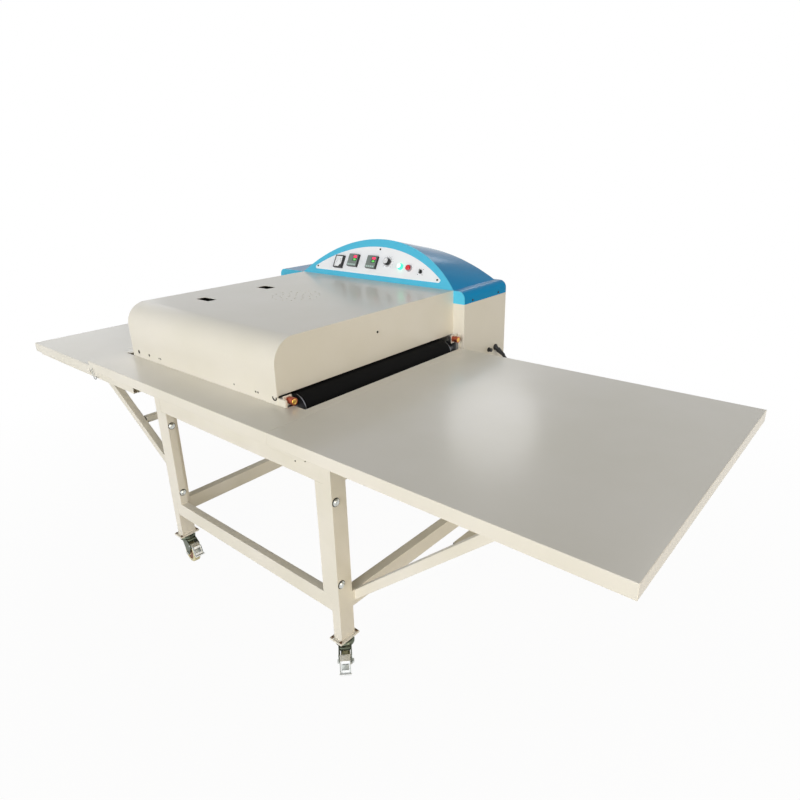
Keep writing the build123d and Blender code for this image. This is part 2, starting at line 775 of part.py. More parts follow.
def chain_loop(extra):
    """The area inside a loop that runs round both chain wheels, at a distance from the pitch line."""
    x0, z0 = motor_place()
    r0 = pitch_radius(MOTOR_TEETH) + extra
    r1 = pitch_radius(ROLLER_TEETH) + extra
    dx, dz = lower_out_x - x0, lower_z - z0
    centres = sqrt(dx * dx + dz * dz)
    along = atan2(dz, dx)
    open_angle = pi / 2 + atan2(r1 - r0, sqrt(centres * centres - (r1 - r0) ** 2))
    corners = []
    for x, z, r, turns in ((x0, z0, r0, (1, -1)), (lower_out_x, lower_z, r1, (-1, 1))):
        for turn in turns:
            angle = along + turn * open_angle
            corners.append((x + r * cos(angle), z + r * sin(angle)))
    y0 = sprocket_front() - LINK_SHEET - GAP
    y1 = sprocket_front() + SPROCKET_THICK + GAP + LINK_SHEET
    area = profile_xz(corners, y0, y1)
    area += rod_y(y0, y1, x0, z0, r0)
    area += rod_y(y0, y1, lower_out_x, lower_z, r1)
    return area


def drive_chain():
    """Two rows of link plates, one each side of the wheels, with pins across the two straight runs."""
    ring = chain_loop(LINK_HEIGHT / 2) - chain_loop(-LINK_HEIGHT / 2)
    middle0 = sprocket_front() - GAP
    middle1 = sprocket_front() + SPROCKET_THICK + GAP
    x0, z0 = motor_place()
    dx, dz = lower_out_x - x0, lower_z - z0
    centres = sqrt(dx * dx + dz * dz)
    ring -= block(box_left, box_right, middle0, middle1, box_bottom, box_top)
    r0, r1 = pitch_radius(MOTOR_TEETH), pitch_radius(ROLLER_TEETH)
    lean = atan2(r1 - r0, sqrt(centres * centres - (r1 - r0) ** 2))
    along = atan2(dz, dx)
    for turn in (1, -1):
        angle = along + turn * (pi / 2 + lean)
        run_x, run_z = x0 + r0 * cos(angle), z0 + r0 * sin(angle)
        way = along + turn * lean
        for link in range(3, 6):
            step = link * SPROCKET_PITCH
            px, pz = run_x + step * cos(way), run_z + step * sin(way)
            ring += rod_y(middle0 - LINK_SHEET / 2, middle1 + LINK_SHEET / 2, px, pz, CHAIN_ROLLER - 0.6)
    return ring


def gear_motor():
    x, z = motor_place()
    y0 = sprocket_front() + SPROCKET_THICK + 8
    floor = box_bottom + BOX_SHEET
    half = GEARBOX / 2
    case = block(x - half, x + half, y0, y0 + GEARBOX_DEPTH, floor, z + half)
    case = fillet(case.edges().filter_by(Axis.Y), 6)
    motor = rod_y(y0 + GEARBOX_DEPTH, y0 + GEARBOX_DEPTH + MOTOR_LENGTH, x, z, MOTOR_RADIUS)
    return case + motor - rod_y(y0 - 1, y0 + 30, x, z, MOTOR_SHAFT + FIT)


# The cover: one folded sheet with a rolled front edge, welded side panels, two slots and a round
# field of vent holes. Its front reaches the table, and its side panels stop above the belts.
def cover_shape(inset, ends):
    x0, x1 = cover_left + ends, cover_right - ends
    body = block(x0, x1, cover_front + inset, cover_back, TABLE_TOP, cover_top - inset)
    edge = body.edges().filter_by(Axis.X).sort_by(Axis.Z)[-2:].sort_by(Axis.Y)[0]
    return fillet(edge, COVER_CORNER - inset)


def vent_places():
    centre_x, centre_y = x_out - VENT_FROM_SEAM, y_front + VENT_FROM_FRONT
    places = [(centre_x, centre_y)]
    for ring, count in ((1, 6), (2, 12), (3, 16)):
        for hole in range(count):
            angle = 2 * pi * (hole + ring / 4) / count
            reach = VENT_RING * ring
            places.append((centre_x + reach * cos(angle), centre_y + reach * sin(angle)))
    return places


def top_cover():
    cover = cover_shape(0, 0)
    inner = cover_shape(COVER_SHEET, COVER_SHEET)
    bottom = block(cover_left - 1, cover_right + 1, cover_front + COVER_SHEET, cover_back + 1, TABLE_TOP, TABLE_TOP + 2)
    cover = cover - inner - bottom
    cover -= block(
        cover_right - COVER_SHEET, cover_right + 1, cover_front + COVER_SHEET, cover_back + 1, TABLE_TOP,
        TABLE_TOP + OUTLET_EDGE,
    )
    cover -= block(
        cover_left - 1, cover_left + COVER_SHEET, cover_front + COVER_SHEET, cover_back + 1, TABLE_TOP,
        TABLE_TOP + INFEED_EDGE,
    )
    back_open = block(
        cover_left + COVER_SHEET, cover_right - COVER_SHEET, cover_back - 2, cover_back + 1, TABLE_TOP,
        cover_top - COVER_SHEET,
    )
    cover -= back_open
    for x, y, length, width in COVER_SLOTS:
        slot = Pos(x_out - x, y_front + y, cover_top) * Box(length, width, 10)
        cover -= fillet(slot.edges().filter_by(Axis.Z), 4)
    holes = [rod_z(cover_top - 5, cover_top + 5, x, y, VENT_RADIUS) for x, y in vent_places()]
    y0, y1 = cover_front - 1, cover_front + COVER_SHEET + 1
    holes += [rod_y(y0, y1, x, TABLE_TOP + FRONT_HOLE_RISE, radius) for x, radius in FRONT_HOLES]
    return cover - holes - screw_holes()


# The control box: a deep sheet box behind the press head, open at the top under the hood.
def gland_place():
    return box_back - GLAND_Y_FROM_BACK, box_bottom + GLAND_RISE


def control_box():
    outer = block(box_left, box_right, cover_back, box_back, box_bottom, box_top)
    inner = block(
        box_left + BOX_SHEET,
        box_right - BOX_SHEET,
        cover_back + BOX_SHEET,
        box_back - BOX_SHEET,
        box_bottom + BOX_SHEET,
        box_top + 1,
    )
    y, z = gland_place()
    holes = [
        rod_x(box_right - 5, box_right + 1, y, z, CORD_RADIUS + 2),
        rod_x(box_right - 5, box_right + 1, y - FUSE_FROM_GLAND, z, FUSE_RADIUS - 2),
        drive_hole(cover_back, cover_back + BOX_SHEET),
    ]
    for x in (box_left + LOUVRE_INSET, box_right - LOUVRE_INSET):
        for row in range(LOUVRE_COUNT):
            z = box_bottom + LOUVRE_RISE + row * LOUVRE_PITCH
            slot = Pos(x, box_back, z) * Rot(90, 0, 0) * extrude(
                SlotOverall(LOUVRE_LENGTH, LOUVRE_WIDTH), amount=2 * BOX_SHEET, both=True
            )
            holes.append(slot)
    return outer - inner - holes


# The hood: a blue sheet cap with rounded ends, and an arched housing that leans back over it.
def panel_plane(lift=0.0):
    """The leaning face of the arch: X along the press, Y up the lean, Z out towards the operator."""
    lean = radians(ARCH_LEAN)
    normal = Vector(0, -cos(lean), sin(lean))
    origin = Vector(arch_middle, cover_back, cover_top) + normal * lift
    return Plane(origin=origin, x_dir=(1, 0, 0), z_dir=normal)


def arch_face(plane, inset, rise):
    half = COVER_LENGTH / 2 - inset
    crown = (0, rise - inset)
    ends = ((-half, 0), (half, 0))
    line = Line(ends[0], ends[1])
    arc = ThreePointArc(ends[1], crown, ends[0])
    return plane * make_face([line, arc])


def hood_shape(inset):
    z1 = cover_top - inset
    y0, y1 = cover_back + inset, box_back - inset
    cap = block(box_left + inset, box_right - inset, y0, y1, box_top, z1)
    edges = cap.edges().filter_by(Axis.Y).sort_by(Axis.Z)[-2:]
    cap = fillet(edges, HOOD_END_RADIUS - inset)
    lean = radians(ARCH_LEAN)
    front = Plane(origin=(arch_middle, y0, z1), x_dir=(1, 0, 0), z_dir=(0, -cos(lean), sin(lean)))
    rear = Plane(origin=(arch_middle, box_back - REAR_ARCH_INSET - inset, z1), x_dir=(1, 0, 0), z_dir=(0, -1, 0))
    arch = loft([arch_face(front, inset, ARCH_RISE), arch_face(rear, inset, REAR_ARCH_RISE)], ruled=True)
    return cap + arch


def instrument_cuts(clearance):
    """The openings through the panel and the hood, one behind each thing on the panel."""
    plane = panel_plane()
    size = INSTRUMENT_BODY + 2 * clearance
    cuts = [(plane * Pos(METER_X, METER_UP, 0)) * Box(METER_WIDTH - 8, METER_HEIGHT - 12, 20)]
    cuts += [(plane * Pos(x, CONTROLLER_UP, 0)) * Box(size, size, 20) for x in CONTROLLER_XS]
    rounds = (
        (KNOB_X, KNOB_UP, 3 + clearance),
        (GREEN_X, GREEN_UP, BUTTON_RADIUS + clearance),
        (RED_X, RED_UP, BUTTON_RADIUS + clearance),
        (SELECTOR_X, SELECTOR_UP, 3 + clearance),
    )
    cuts += [(plane * Pos(x, up, 0)) * Cylinder(radius, 20) for x, up, radius in rounds]
    return cuts


def hood():
    return hood_shape(0) - hood_shape(HOOD_SHEET) - hood_floor() - instrument_cuts(LOOSE) - screw_holes()


def hood_floor():
    return block(
        box_left + HOOD_SHEET, box_right - HOOD_SHEET, cover_back + HOOD_SHEET, box_back - HOOD_SHEET,
        box_top - 1, box_top + 2,
    )


# The control panel: a white plate under the arch, with the instruments, knob, buttons and switch.
def control_panel():
    half = PANEL_LENGTH / 2
    corner = 12.0
    foot_left, foot_right = (-half + corner, PANEL_FOOT), (half - corner, PANEL_FOOT)
    tip_left, tip_right = (-half, PANEL_CORNER_UP), (half, PANEL_CORNER_UP)
    edge = [
        Line(foot_left, foot_right),
        ThreePointArc(foot_right, (half - 1, PANEL_FOOT + 4), tip_right),
        ThreePointArc(tip_right, (0, PANEL_CROWN), tip_left),
        ThreePointArc(tip_left, (-half + 1, PANEL_FOOT + 4), foot_left),
    ]
    plate = extrude(panel_plane() * make_face(edge), amount=PANEL_SHEET, dir=panel_plane().z_dir)
    return plate - instrument_cuts(FIT) - screw_holes()


def on_panel(x, up):
    return panel_plane(PANEL_SHEET) * Pos(x, up, 0)


def ammeter():
    """A moving-coil meter: a deep frame with a sloping front, and its body behind the panel."""
    frame = Box(METER_WIDTH, METER_HEIGHT, CONTROLLER_PROUD - 2, align=STAND_UP)
    frame = chamfer(frame.faces().sort_by(Axis.Z)[-1].edges(), 2)
    window = Pos(0, 3, CONTROLLER_PROUD - 3) * Box(METER_WIDTH - 9, METER_HEIGHT - 14, 5, align=STAND_UP)
    back = Pos(0, 0, 0) * Box(METER_WIDTH - 9, METER_HEIGHT - 13, INSTRUMENT_DEPTH / 2, align=HANG_DOWN)
    return on_panel(METER_X, METER_UP) * (frame - window + back)


def temperature_controllers():
    parts = []
    for x in CONTROLLER_XS:
        bezel = Box(CONTROLLER, CONTROLLER, CONTROLLER_PROUD, align=STAND_UP)
        bezel = chamfer(bezel.faces().sort_by(Axis.Z)[-1].edges(), 1.5)
        recess = Pos(0, 0, CONTROLLER_PROUD - 1) * Box(CONTROLLER - 8, CONTROLLER - 8, 3, align=STAND_UP)
        back = Box(INSTRUMENT_BODY - GAP, INSTRUMENT_BODY - GAP, INSTRUMENT_DEPTH, align=HANG_DOWN)
        parts.append(on_panel(x, CONTROLLER_UP) * (bezel - recess + back))
    return Compound(children=parts)


def speed_knob():
    """A turned knob on its spindle, over a thin dial skirt that turns with it."""
    skirt = Pos(0, 0, GAP) * Cylinder(DIAL_RADIUS, 2.5, align=STAND_UP)
    grip = Pos(0, 0, GAP) * Cone(KNOB_RADIUS, KNOB_RADIUS - 2, KNOB_HEIGHT, align=STAND_UP)
    grip = fillet(grip.edges().filter_by(GeomType.CIRCLE).sort_by(Axis.Z)[-1], 2)
    spindle = Pos(0, 0, GAP) * Cylinder(3, 22, align=HANG_DOWN)
    return on_panel(KNOB_X, KNOB_UP) * (skirt + grip + spindle)


def push_button(x, up):
    """A button with a domed cap, sprung against its spindle in the panel."""
    cap = Pos(0, 0, BUTTON_TRAVEL) * Cylinder(BUTTON_RADIUS, BUTTON_PROUD, align=STAND_UP)
    cap = fillet(cap.edges().filter_by(GeomType.CIRCLE).sort_by(Axis.Z)[-1], 3)
    stem = Pos(0, 0, BUTTON_TRAVEL) * Cylinder(BUTTON_RADIUS, 20, align=HANG_DOWN)
    return on_panel(x, up) * (cap + stem)


def button_bezels():
    rings = []
    for x, up in ((GREEN_X, GREEN_UP), (RED_X, RED_UP)):
        ring = Cylinder(BEZEL_RADIUS, BEZEL_HEIGHT, align=STAND_UP)
        ring = chamfer(ring.edges().filter_by(GeomType.CIRCLE).sort_by(Axis.Z)[-1], 1)
        ring -= Cylinder(BUTTON_RADIUS + FIT, 3 * BEZEL_HEIGHT)
        rings.append(on_panel(x, up) * ring)
    return Compound(children=rings)


def selector_switch():
    """A small rotary switch: a round boss with a raised bar across it."""
    boss = Pos(0, 0, GAP) * Cylinder(SELECTOR_RADIUS, 5, align=STAND_UP)
    bar = Pos(0, 0, GAP) * Box(4.5, 2 * SELECTOR_RADIUS - 1, 11, align=STAND_UP)
    spindle = Pos(0, 0, GAP) * Cylinder(3, 18, align=HANG_DOWN)
    return on_panel(SELECTOR_X, SELECTOR_UP) * (boss + bar + spindle)


# The sheet screws: pan-head screws through the hood's ends, the cover's side panels and the
# control panel. Each stands on its own plane, with its axis out of the sheet.
def screw_planes():
    places = []
    for x, out in ((box_right, 1), (box_left, -1)):
        for y in (cover_back + HOOD_SCREW_FRONT, cover_back + HOOD_SCREW_BACK):
            places.append(Plane(origin=(x, y, box_top + HOOD_SCREW_RISE), z_dir=(out, 0, 0)))
    for x, out in ((cover_right, 1), (cover_left, -1)):
        side = (x, cover_front + COVER_SCREW_IN, cover_top - COVER_SCREW_DROP)
        places.append(Plane(origin=side, z_dir=(out, 0, 0)))
    for x, up in ((-PANEL_SCREW_X, PANEL_CORNER_UP), (4, PANEL_CROWN - 10), (PANEL_SCREW_X, PANEL_CORNER_UP - 2)):
        places.append(panel_plane(PANEL_SHEET) * Pos(x, up, 0))
    return places


def screw_holes():
    shank = Cylinder(SCREW_RADIUS + FIT, SCREW_LENGTH, align=HANG_DOWN)
    return [place * shank for place in screw_planes()]


def sheet_screws():
    head = Cylinder(SCREW_HEAD, SCREW_HEAD_HEIGHT, align=STAND_UP)
    head = fillet(head.edges().filter_by(GeomType.CIRCLE).sort_by(Axis.Z)[-1], SCREW_HEAD_HEIGHT * 0.6)
    head -= Pos(0, 0, SCREW_HEAD_HEIGHT) * Box(2 * SCREW_HEAD, 0.8, SCREW_HEAD_HEIGHT)
    screw = head + Cylinder(SCREW_RADIUS, SCREW_LENGTH - 1, align=HANG_DOWN)
    return Compound(children=[place * screw for place in screw_planes()])


# The mains lead: it leaves the gland on the box's right side, falls behind the right table to
# the floor, and is coiled there in two layers, with its plug beside the coil.
def cord_gland():
    """A flange and a soft neck, which points down the way the lead falls."""
    y, z = gland_place()
    flange = rod_x(box_right, box_right + GLAND_FLANGE, y, z, GLAND_RADIUS)
    neck = Pos(box_right + GLAND_FLANGE / 2, y, z) * Rot(0, 90 + GLAND_DROOP, 0) * Cone(
        GLAND_RADIUS - 3, CORD_RADIUS + 1.5, GLAND_LENGTH, align=STAND_UP
    )
    inner = rod_x(box_right - 6, box_right, y, z, CORD_RADIUS + 2 - FIT)
    keep = block(box_right, box_right + 2 * GLAND_LENGTH, y - 20, y + 20, z - 30, z + 30)
    return flange + (neck & keep) + inner


def fuse_holder():
    y, z = gland_place()
    y -= FUSE_FROM_GLAND
    flange = rod_x(box_right, box_right + 3, y, z, FUSE_RADIUS)
    cap = rod_x(box_right + 3, box_right + FUSE_LENGTH, y, z, FUSE_RADIUS - 2)
    neck = rod_x(box_right - 25, box_right, y, z, FUSE_RADIUS - 2 - FIT)
    return flange + cap + neck


coil_x, coil_y = COIL_CENTRE
coil_foot = coil_y - COIL_RADIUS
cord_floor = CORD_RADIUS + 0.1
droop = radians(GLAND_DROOP)
cord_x = box_right + GLAND_FLANGE / 2 + GLAND_LENGTH * cos(droop)
cord_y, gland_z = gland_place()
cord_z = gland_z - GLAND_LENGTH * sin(droop)
first_fall = 42.0
CORD_POINTS = [
    (cord_x, cord_y, cord_z),
    (cord_x + first_fall * cos(droop), cord_y, cord_z - first_fall * sin(droop)),
    (298, 549, 572),
    (320, 546, 502),
    (334, 530, 400),
    (336, 505, 285),
    (328, 482, 180),
    (324, 466, 98),
    (345, 459, 34),
    (392, coil_foot, cord_floor),
    (coil_x - COIL_RUN_IN, coil_foot, cord_floor),
]


def cord_radii(points):
    radii = []
    for before, here, after in zip(points, points[1:], points[2:]):
        first = Vector(*here) - Vector(*before)
        second = Vector(*after) - Vector(*here)
        half_turn = radians(first.get_angle(second)) / 2
        radii.append(0.45 * min(first.length, second.length) / tan(half_turn))
    return radii


def power_cord():
    radii = cord_radii(CORD_POINTS)
    print("cord radii", [round(r) for r in radii])
    path = FilletPolyline(*CORD_POINTS, radius=radii)
    section = Plane(origin=CORD_POINTS[0], z_dir=path % 0) * Circle(CORD_RADIUS)
    cord = sweep(section, path=path)
    print("cord length", round(path.length), "volume ratio", round(cord.volume / (section.area * path.length), 4))
    return cord


def coil_path():
    """Half turns that step in by half a pitch on the floor, climb, and step out on top."""
    low, high = cord_floor, cord_floor + COIL_STEP
    edges = []

    def half_turn(start, radius, z0, z1, front):
        end = start - 2 * radius if front else start + 2 * radius
        middle = (start + end) / 2
        reach = sqrt(radius * radius + (z1 - z0) ** 2 / 4)
        peak = (middle, reach if front else -reach, (z0 + z1) / 2)
        edges.append(ThreePointArc((start, 0, z0), peak, (end, 0, z1)))
        return end

    edges.append(Line((COIL_RADIUS, -COIL_RUN_IN, low), (COIL_RADIUS, 0, low)))
    at = COIL_RADIUS
    step = COIL_STEP / 2
    radius = COIL_RADIUS
    for turn in range(4):
        at = half_turn(at, radius, low, low, turn % 2 == 0)
        radius -= step
    at = half_turn(at, radius, low, high, True)
    for turn in range(3):
        radius += step
        at = half_turn(at, radius, high, high, turn % 2 == 1)
    edges.append(Line((at, 0, high), (at, COIL_RUN_OUT, high)))
    return Wire(edges)


def least_gap(path, radius):
    """The least gap between the tube's own turns, measured on points along its path."""
    count = 400
    points = [path @ (i / count) for i in range(count + 1)]
    step = path.length / count
    apart = int(6 * radius / step)
    gaps = [
        (points[i] - points[j]).length - 2 * radius
        for i in range(count + 1)
        for j in range(i + apart, count + 1)
    ]
    return min(gaps)


def coil_placed(shape):
    return Pos(coil_x, coil_y, 0) * Rot(0, 0, -90) * shape


def cord_coil():
    path = coil_path()
    section = Plane(origin=path @ 0, z_dir=path % 0) * Circle(CORD_RADIUS)
    coil = sweep(section, path=path)
    print("coil length", round(path.length), "volume ratio", round(coil.volume / (section.area * path.length), 4))
    print("coil least gap", round(least_gap(path, CORD_RADIUS), 2))
    return coil_placed(coil)


def plug():
    """A moulded mains plug: a tapered neck, a grip and three pins."""
    z = cord_floor + COIL_STEP
    y0 = COIL_RUN_OUT
    neck = Pos(COIL_RADIUS, y0, z) * Rot(-90, 0, 0) * Cone(CORD_RADIUS + 1, PLUG_RADIUS * 0.8, 20, align=STAND_UP)
    grip = block(
        COIL_RADIUS - PLUG_RADIUS,
        COIL_RADIUS + PLUG_RADIUS,
        y0 + 20,
        y0 + PLUG_LENGTH,
        z - PLUG_RADIUS * 0.8,
        z + PLUG_RADIUS * 0.8,
    )
    grip = fillet(grip.edges().filter_by(Axis.Y), 6)
    pins = [
        block(COIL_RADIUS + dx - 1, COIL_RADIUS + dx + 1, y0 + PLUG_LENGTH, y0 + PLUG_LENGTH + 18, z + dz - 3, z + dz + 3)
        for dx, dz in ((-8, 4), (8, 4), (0, -6))
    ]
    body = neck + grip
    for pin in pins:
        body += pin
    return coil_placed(body)


NODES = {
    "legs": legs(),
    "front_rails": frame_rails(stand_front),
    "rear_rails": frame_rails(stand_back - RAIL_DEPTH),
    "side_rails": side_rails(),
    "frame_uprights": frame_uprights(),
    "foot_plates": foot_plates(),
    "frame_bolts": frame_bolts(),
    "centre_table": centre_table(),
    "left_table": left_table(),
    "right_table": right_table(),
    "table_arms": table_arms(),
    "left_braces": left_braces(),
    "right_braces": right_braces(),
    "brace_cross_bars": brace_cross_bars(),
    "base_pan": base_pan(),
    "front_side_plate": front_side_plate(),
    "rear_side_plate": rear_side_plate(),
    "top_cover": top_cover(),
    "lower_belt": lower_belt(),
    "upper_belt": upper_belt(),
    "bearing_blocks": bearing_blocks(),
    "heater_plates": heater_plates(),
    "front_belt_adjuster": belt_adjuster(True),
    "rear_belt_adjuster": belt_adjuster(False),
    "gear_motor": gear_motor(),
    "motor_sprocket": motor_sprocket(),
    "drive_chain": drive_chain(),
    "control_box": control_box(),
    "hood": hood(),
    "control_panel": control_panel(),
    "button_bezels": button_bezels(),
    "ammeter": ammeter(),
    "temperature_controllers": temperature_controllers(),
    "speed_knob": speed_knob(),
    "green_button": push_button(GREEN_X, GREEN_UP),
    "red_button": push_button(RED_X, RED_UP),
    "selector_switch": selector_switch(),
    "sheet_screws": sheet_screws(),
    "cord_gland": cord_gland(),
    "fuse_holder": fuse_holder(),
    "power_cord": power_cord(),
    "cord_coil": cord_coil(),
    "plug": plug(),
}
for roller_name in roller_places():
    NODES[roller_name] = roller(roller_name)
for name, place in castor_places().items():
    NODES["castor_fork_" + name] = place * castor_fork()
    NODES["castor_wheel_" + name] = place * castor_wheel()
    NODES["castor_pedal_" + name] = place * castor_pedal()

os.makedirs("parts", exist_ok=True)
for node, shape in NODES.items():
    export_step(shape, "parts/" + node + ".step")
print(len(NODES), "nodes")
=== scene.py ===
import bpy
from math import cos, pi, radians, sin
from mathutils import Matrix, Vector


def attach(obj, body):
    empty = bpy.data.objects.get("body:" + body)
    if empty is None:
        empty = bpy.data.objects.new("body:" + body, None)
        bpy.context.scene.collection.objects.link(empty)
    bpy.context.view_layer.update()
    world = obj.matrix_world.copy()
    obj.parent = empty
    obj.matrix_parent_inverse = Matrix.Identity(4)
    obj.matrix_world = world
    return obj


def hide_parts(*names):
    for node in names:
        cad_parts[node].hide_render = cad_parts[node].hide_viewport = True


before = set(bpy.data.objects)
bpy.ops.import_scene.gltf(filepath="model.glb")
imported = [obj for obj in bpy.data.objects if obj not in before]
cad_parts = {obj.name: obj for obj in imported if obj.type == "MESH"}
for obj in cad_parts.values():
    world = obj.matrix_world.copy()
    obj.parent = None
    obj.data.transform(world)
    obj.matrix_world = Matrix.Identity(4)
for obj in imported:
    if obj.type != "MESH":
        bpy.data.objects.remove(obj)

scene = bpy.context.scene
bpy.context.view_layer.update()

# The studio: a white floor that keeps the soft shadow of the press, white all round, and five
# round soft lamps. The key stands low in front, so the front faces are the brightest, as photographed.
scene.view_settings.view_transform = "Standard"
CAMERA_PLACE = (1.4185, -1.4169, 1.3236)
CAMERA_YAW = 0.72372364
CAMERA_PITCH = 0.361705037
CAMERA_ROLL = -0.0281035
CAMERA_LENS = 27.0225
CAMERA_SHIFT = (0.0073175, -0.00599)

bpy.ops.object.select_all(action="DESELECT")
bpy.ops.object.camera_add(location=CAMERA_PLACE)
camera = bpy.context.object
turn = Matrix.Rotation(CAMERA_YAW, 3, "Z") @ Matrix.Rotation(pi / 2 - CAMERA_PITCH, 3, "X")
camera.rotation_euler = (turn @ Matrix.Rotation(CAMERA_ROLL, 3, "Z")).to_euler()
camera.data.lens = CAMERA_LENS
camera.data.shift_x, camera.data.shift_y = CAMERA_SHIFT
camera.data.clip_end = 100
scene.camera = camera


def colour(code):
    """An sRGB hex colour as linear values with full alpha."""
    parts = [int(code[i:i + 2], 16) / 255 for i in (1, 3, 5)]
    return tuple(p / 12.92 if p <= 0.04045 else ((p + 0.055) / 1.055) ** 2.4 for p in parts) + (1.0,)


def add_node(material, kind, values=None, links=None, **settings):
    """Adds a shader node with its settings, its input values and the links into it."""
    node = material.node_tree.nodes.new(kind)
    for name, value in settings.items():
        setattr(node, name, value)
    for name, value in (values or {}).items():
        node.inputs[name].default_value = value
    for name, source in (links or {}).items():
        material.node_tree.links.new(source, node.inputs[name])
    return node


def new_finish(name):
    """An empty node material, with its output node."""
    finish = bpy.data.materials.new(name)
    finish.use_nodes = True
    finish.node_tree.nodes.clear()
    return finish, add_node(finish, "ShaderNodeOutputMaterial")


# Painted floor: matt, and for camera and mirror rays it goes up to pure white away from the press.
floor_paint, floor_out = new_finish("studio_floor")
floor_rays = add_node(floor_paint, "ShaderNodeLightPath")
floor_at = add_node(floor_paint, "ShaderNodeTexCoord")
floor_away = add_node(
    floor_paint, "ShaderNodeVectorMath", None, {0: floor_at.outputs["Object"]}, operation="LENGTH"
)
floor_share = add_node(
    floor_paint,
    "ShaderNodeMapRange",
    {"From Min": 0.9, "From Max": 2.6, "To Min": 0.96, "To Max": 1.0},
    {"Value": floor_away.outputs["Value"]},
)
floor_mirror = add_node(
    floor_paint,
    "ShaderNodeMath",
    None,
    {0: floor_rays.outputs["Is Camera Ray"], 1: floor_rays.outputs["Is Glossy Ray"]},
    operation="MAXIMUM",
)
floor_clear = add_node(
    floor_paint,
    "ShaderNodeMath",
    None,
    {0: floor_mirror.outputs[0], 1: floor_rays.outputs["Is Transmission Ray"]},
    operation="MAXIMUM",
)
floor_seen = add_node(
    floor_paint,
    "ShaderNodeMath",
    None,
    {0: floor_clear.outputs[0], 1: floor_share.outputs["Result"]},
    operation="MULTIPLY",
)
floor_matte = add_node(floor_paint, "ShaderNodeBsdfDiffuse", {"Color": colour("#D6CFBE")})
floor_glow = add_node(floor_paint, "ShaderNodeEmission", {"Color": (1, 1, 1, 1), "Strength": 1.0})
floor_mix = add_node(
    floor_paint,
    "ShaderNodeMixShader",
    None,
    {0: floor_seen.outputs[0], 1: floor_matte.outputs[0], 2: floor_glow.outputs[0]},
)
floor_paint.node_tree.links.new(floor_mix.outputs[0], floor_out.inputs["Surface"])
bpy.ops.object.select_all(action="DESELECT")
bpy.ops.mesh.primitive_circle_add(vertices=64, radius=14, fill_type="NGON", location=(0, 0, -0.001))
floor = bpy.context.object
floor.name = "studio_floor"
floor.data.materials.append(floor_paint)

studio = bpy.data.worlds.new("studio")
scene.world = studio
studio.use_nodes = True
studio.node_tree.nodes.clear()
world_out = add_node(studio, "ShaderNodeOutputWorld")
world_rays = add_node(studio, "ShaderNodeLightPath")
world_mirror = add_node(
    studio,
    "ShaderNodeMath",
    None,
    {0: world_rays.outputs["Is Camera Ray"], 1: world_rays.outputs["Is Glossy Ray"]},
    operation="MAXIMUM",
)
world_clear = add_node(
    studio,
    "ShaderNodeMath",
    None,
    {0: world_mirror.outputs[0], 1: world_rays.outputs["Is Transmission Ray"]},
    operation="MAXIMUM",
)
world_fill = add_node(studio, "ShaderNodeBackground", {"Color": colour("#EEF2F6"), "Strength": 0.23})
world_white = add_node(studio, "ShaderNodeBackground", {"Color": (1, 1, 1, 1), "Strength": 1.0})
world_mix = add_node(
    studio,
    "ShaderNodeMixShader",
    None,
    {0: world_clear.outputs[0], 1: world_fill.outputs[0], 2: world_white.outputs[0]},
)
studio.node_tree.links.new(world_mix.outputs[0], world_out.inputs["Surface"])


def soft_box(name, place, target, size, watts, tint="#FFFFFF"):
    """A round area lamp that points at a place."""
    bpy.ops.object.select_all(action="DESELECT")
    bpy.ops.object.light_add(type="AREA", location=place)
    lamp = bpy.context.object
    lamp.name = name
    lamp.data.shape = "DISK"
    lamp.data.size = size
    lamp.data.energy = watts
    lamp.data.color = colour(tint)[:3]
    lamp.rotation_euler = (Vector(target) - Vector(place)).to_track_quat("-Z", "Y").to_euler()


soft_box("key_box", (1.6, -9.0, 2.4), (0.0, 0.0, 0.7), 5.0, 565)
soft_box("side_box", (9.6, -1.9, 2.2), (0.0, 0.0, 0.6), 4.5, 315, "#FFF2DC")
soft_box("left_box", (-2.3, 0.0, 1.35), (-0.95, -0.1, 0.7), 1.0, 1.4)
soft_box("window_box", (-1.44, 3.25, 2.52), (0.7, -0.25, 0.72), 0.9, 5)
soft_box("hood_box", (-2.57, 19.0, 15.9), (0.0, 0.4, 1.0), 1.7, 180)

# The mains lead: black rubber-sheathed flexible cord, 11 mm thick. It leaves the box at the gland,
# falls behind the outlet table and is wound in two layers on the floor, with its moulded plug.
CORD_THICK = 0.011
FLOOR_RISE = 0.0056
LEAD_DROOP = radians(34)
LEAD_START = Vector((0.218 + 0.016 * cos(LEAD_DROOP), 0.550, 0.656 - 0.016 * sin(LEAD_DROOP)))
LEAD_FIRST = LEAD_START + 0.042 * Vector((cos(LEAD_DROOP), 0, -sin(LEAD_DROOP)))
COIL_MIDDLE = Vector((0.450, 0.530, 0.0))
COIL_SIDE = 0.072
COIL_STEP = 0.0118
HALF_TURN_POINTS = 8

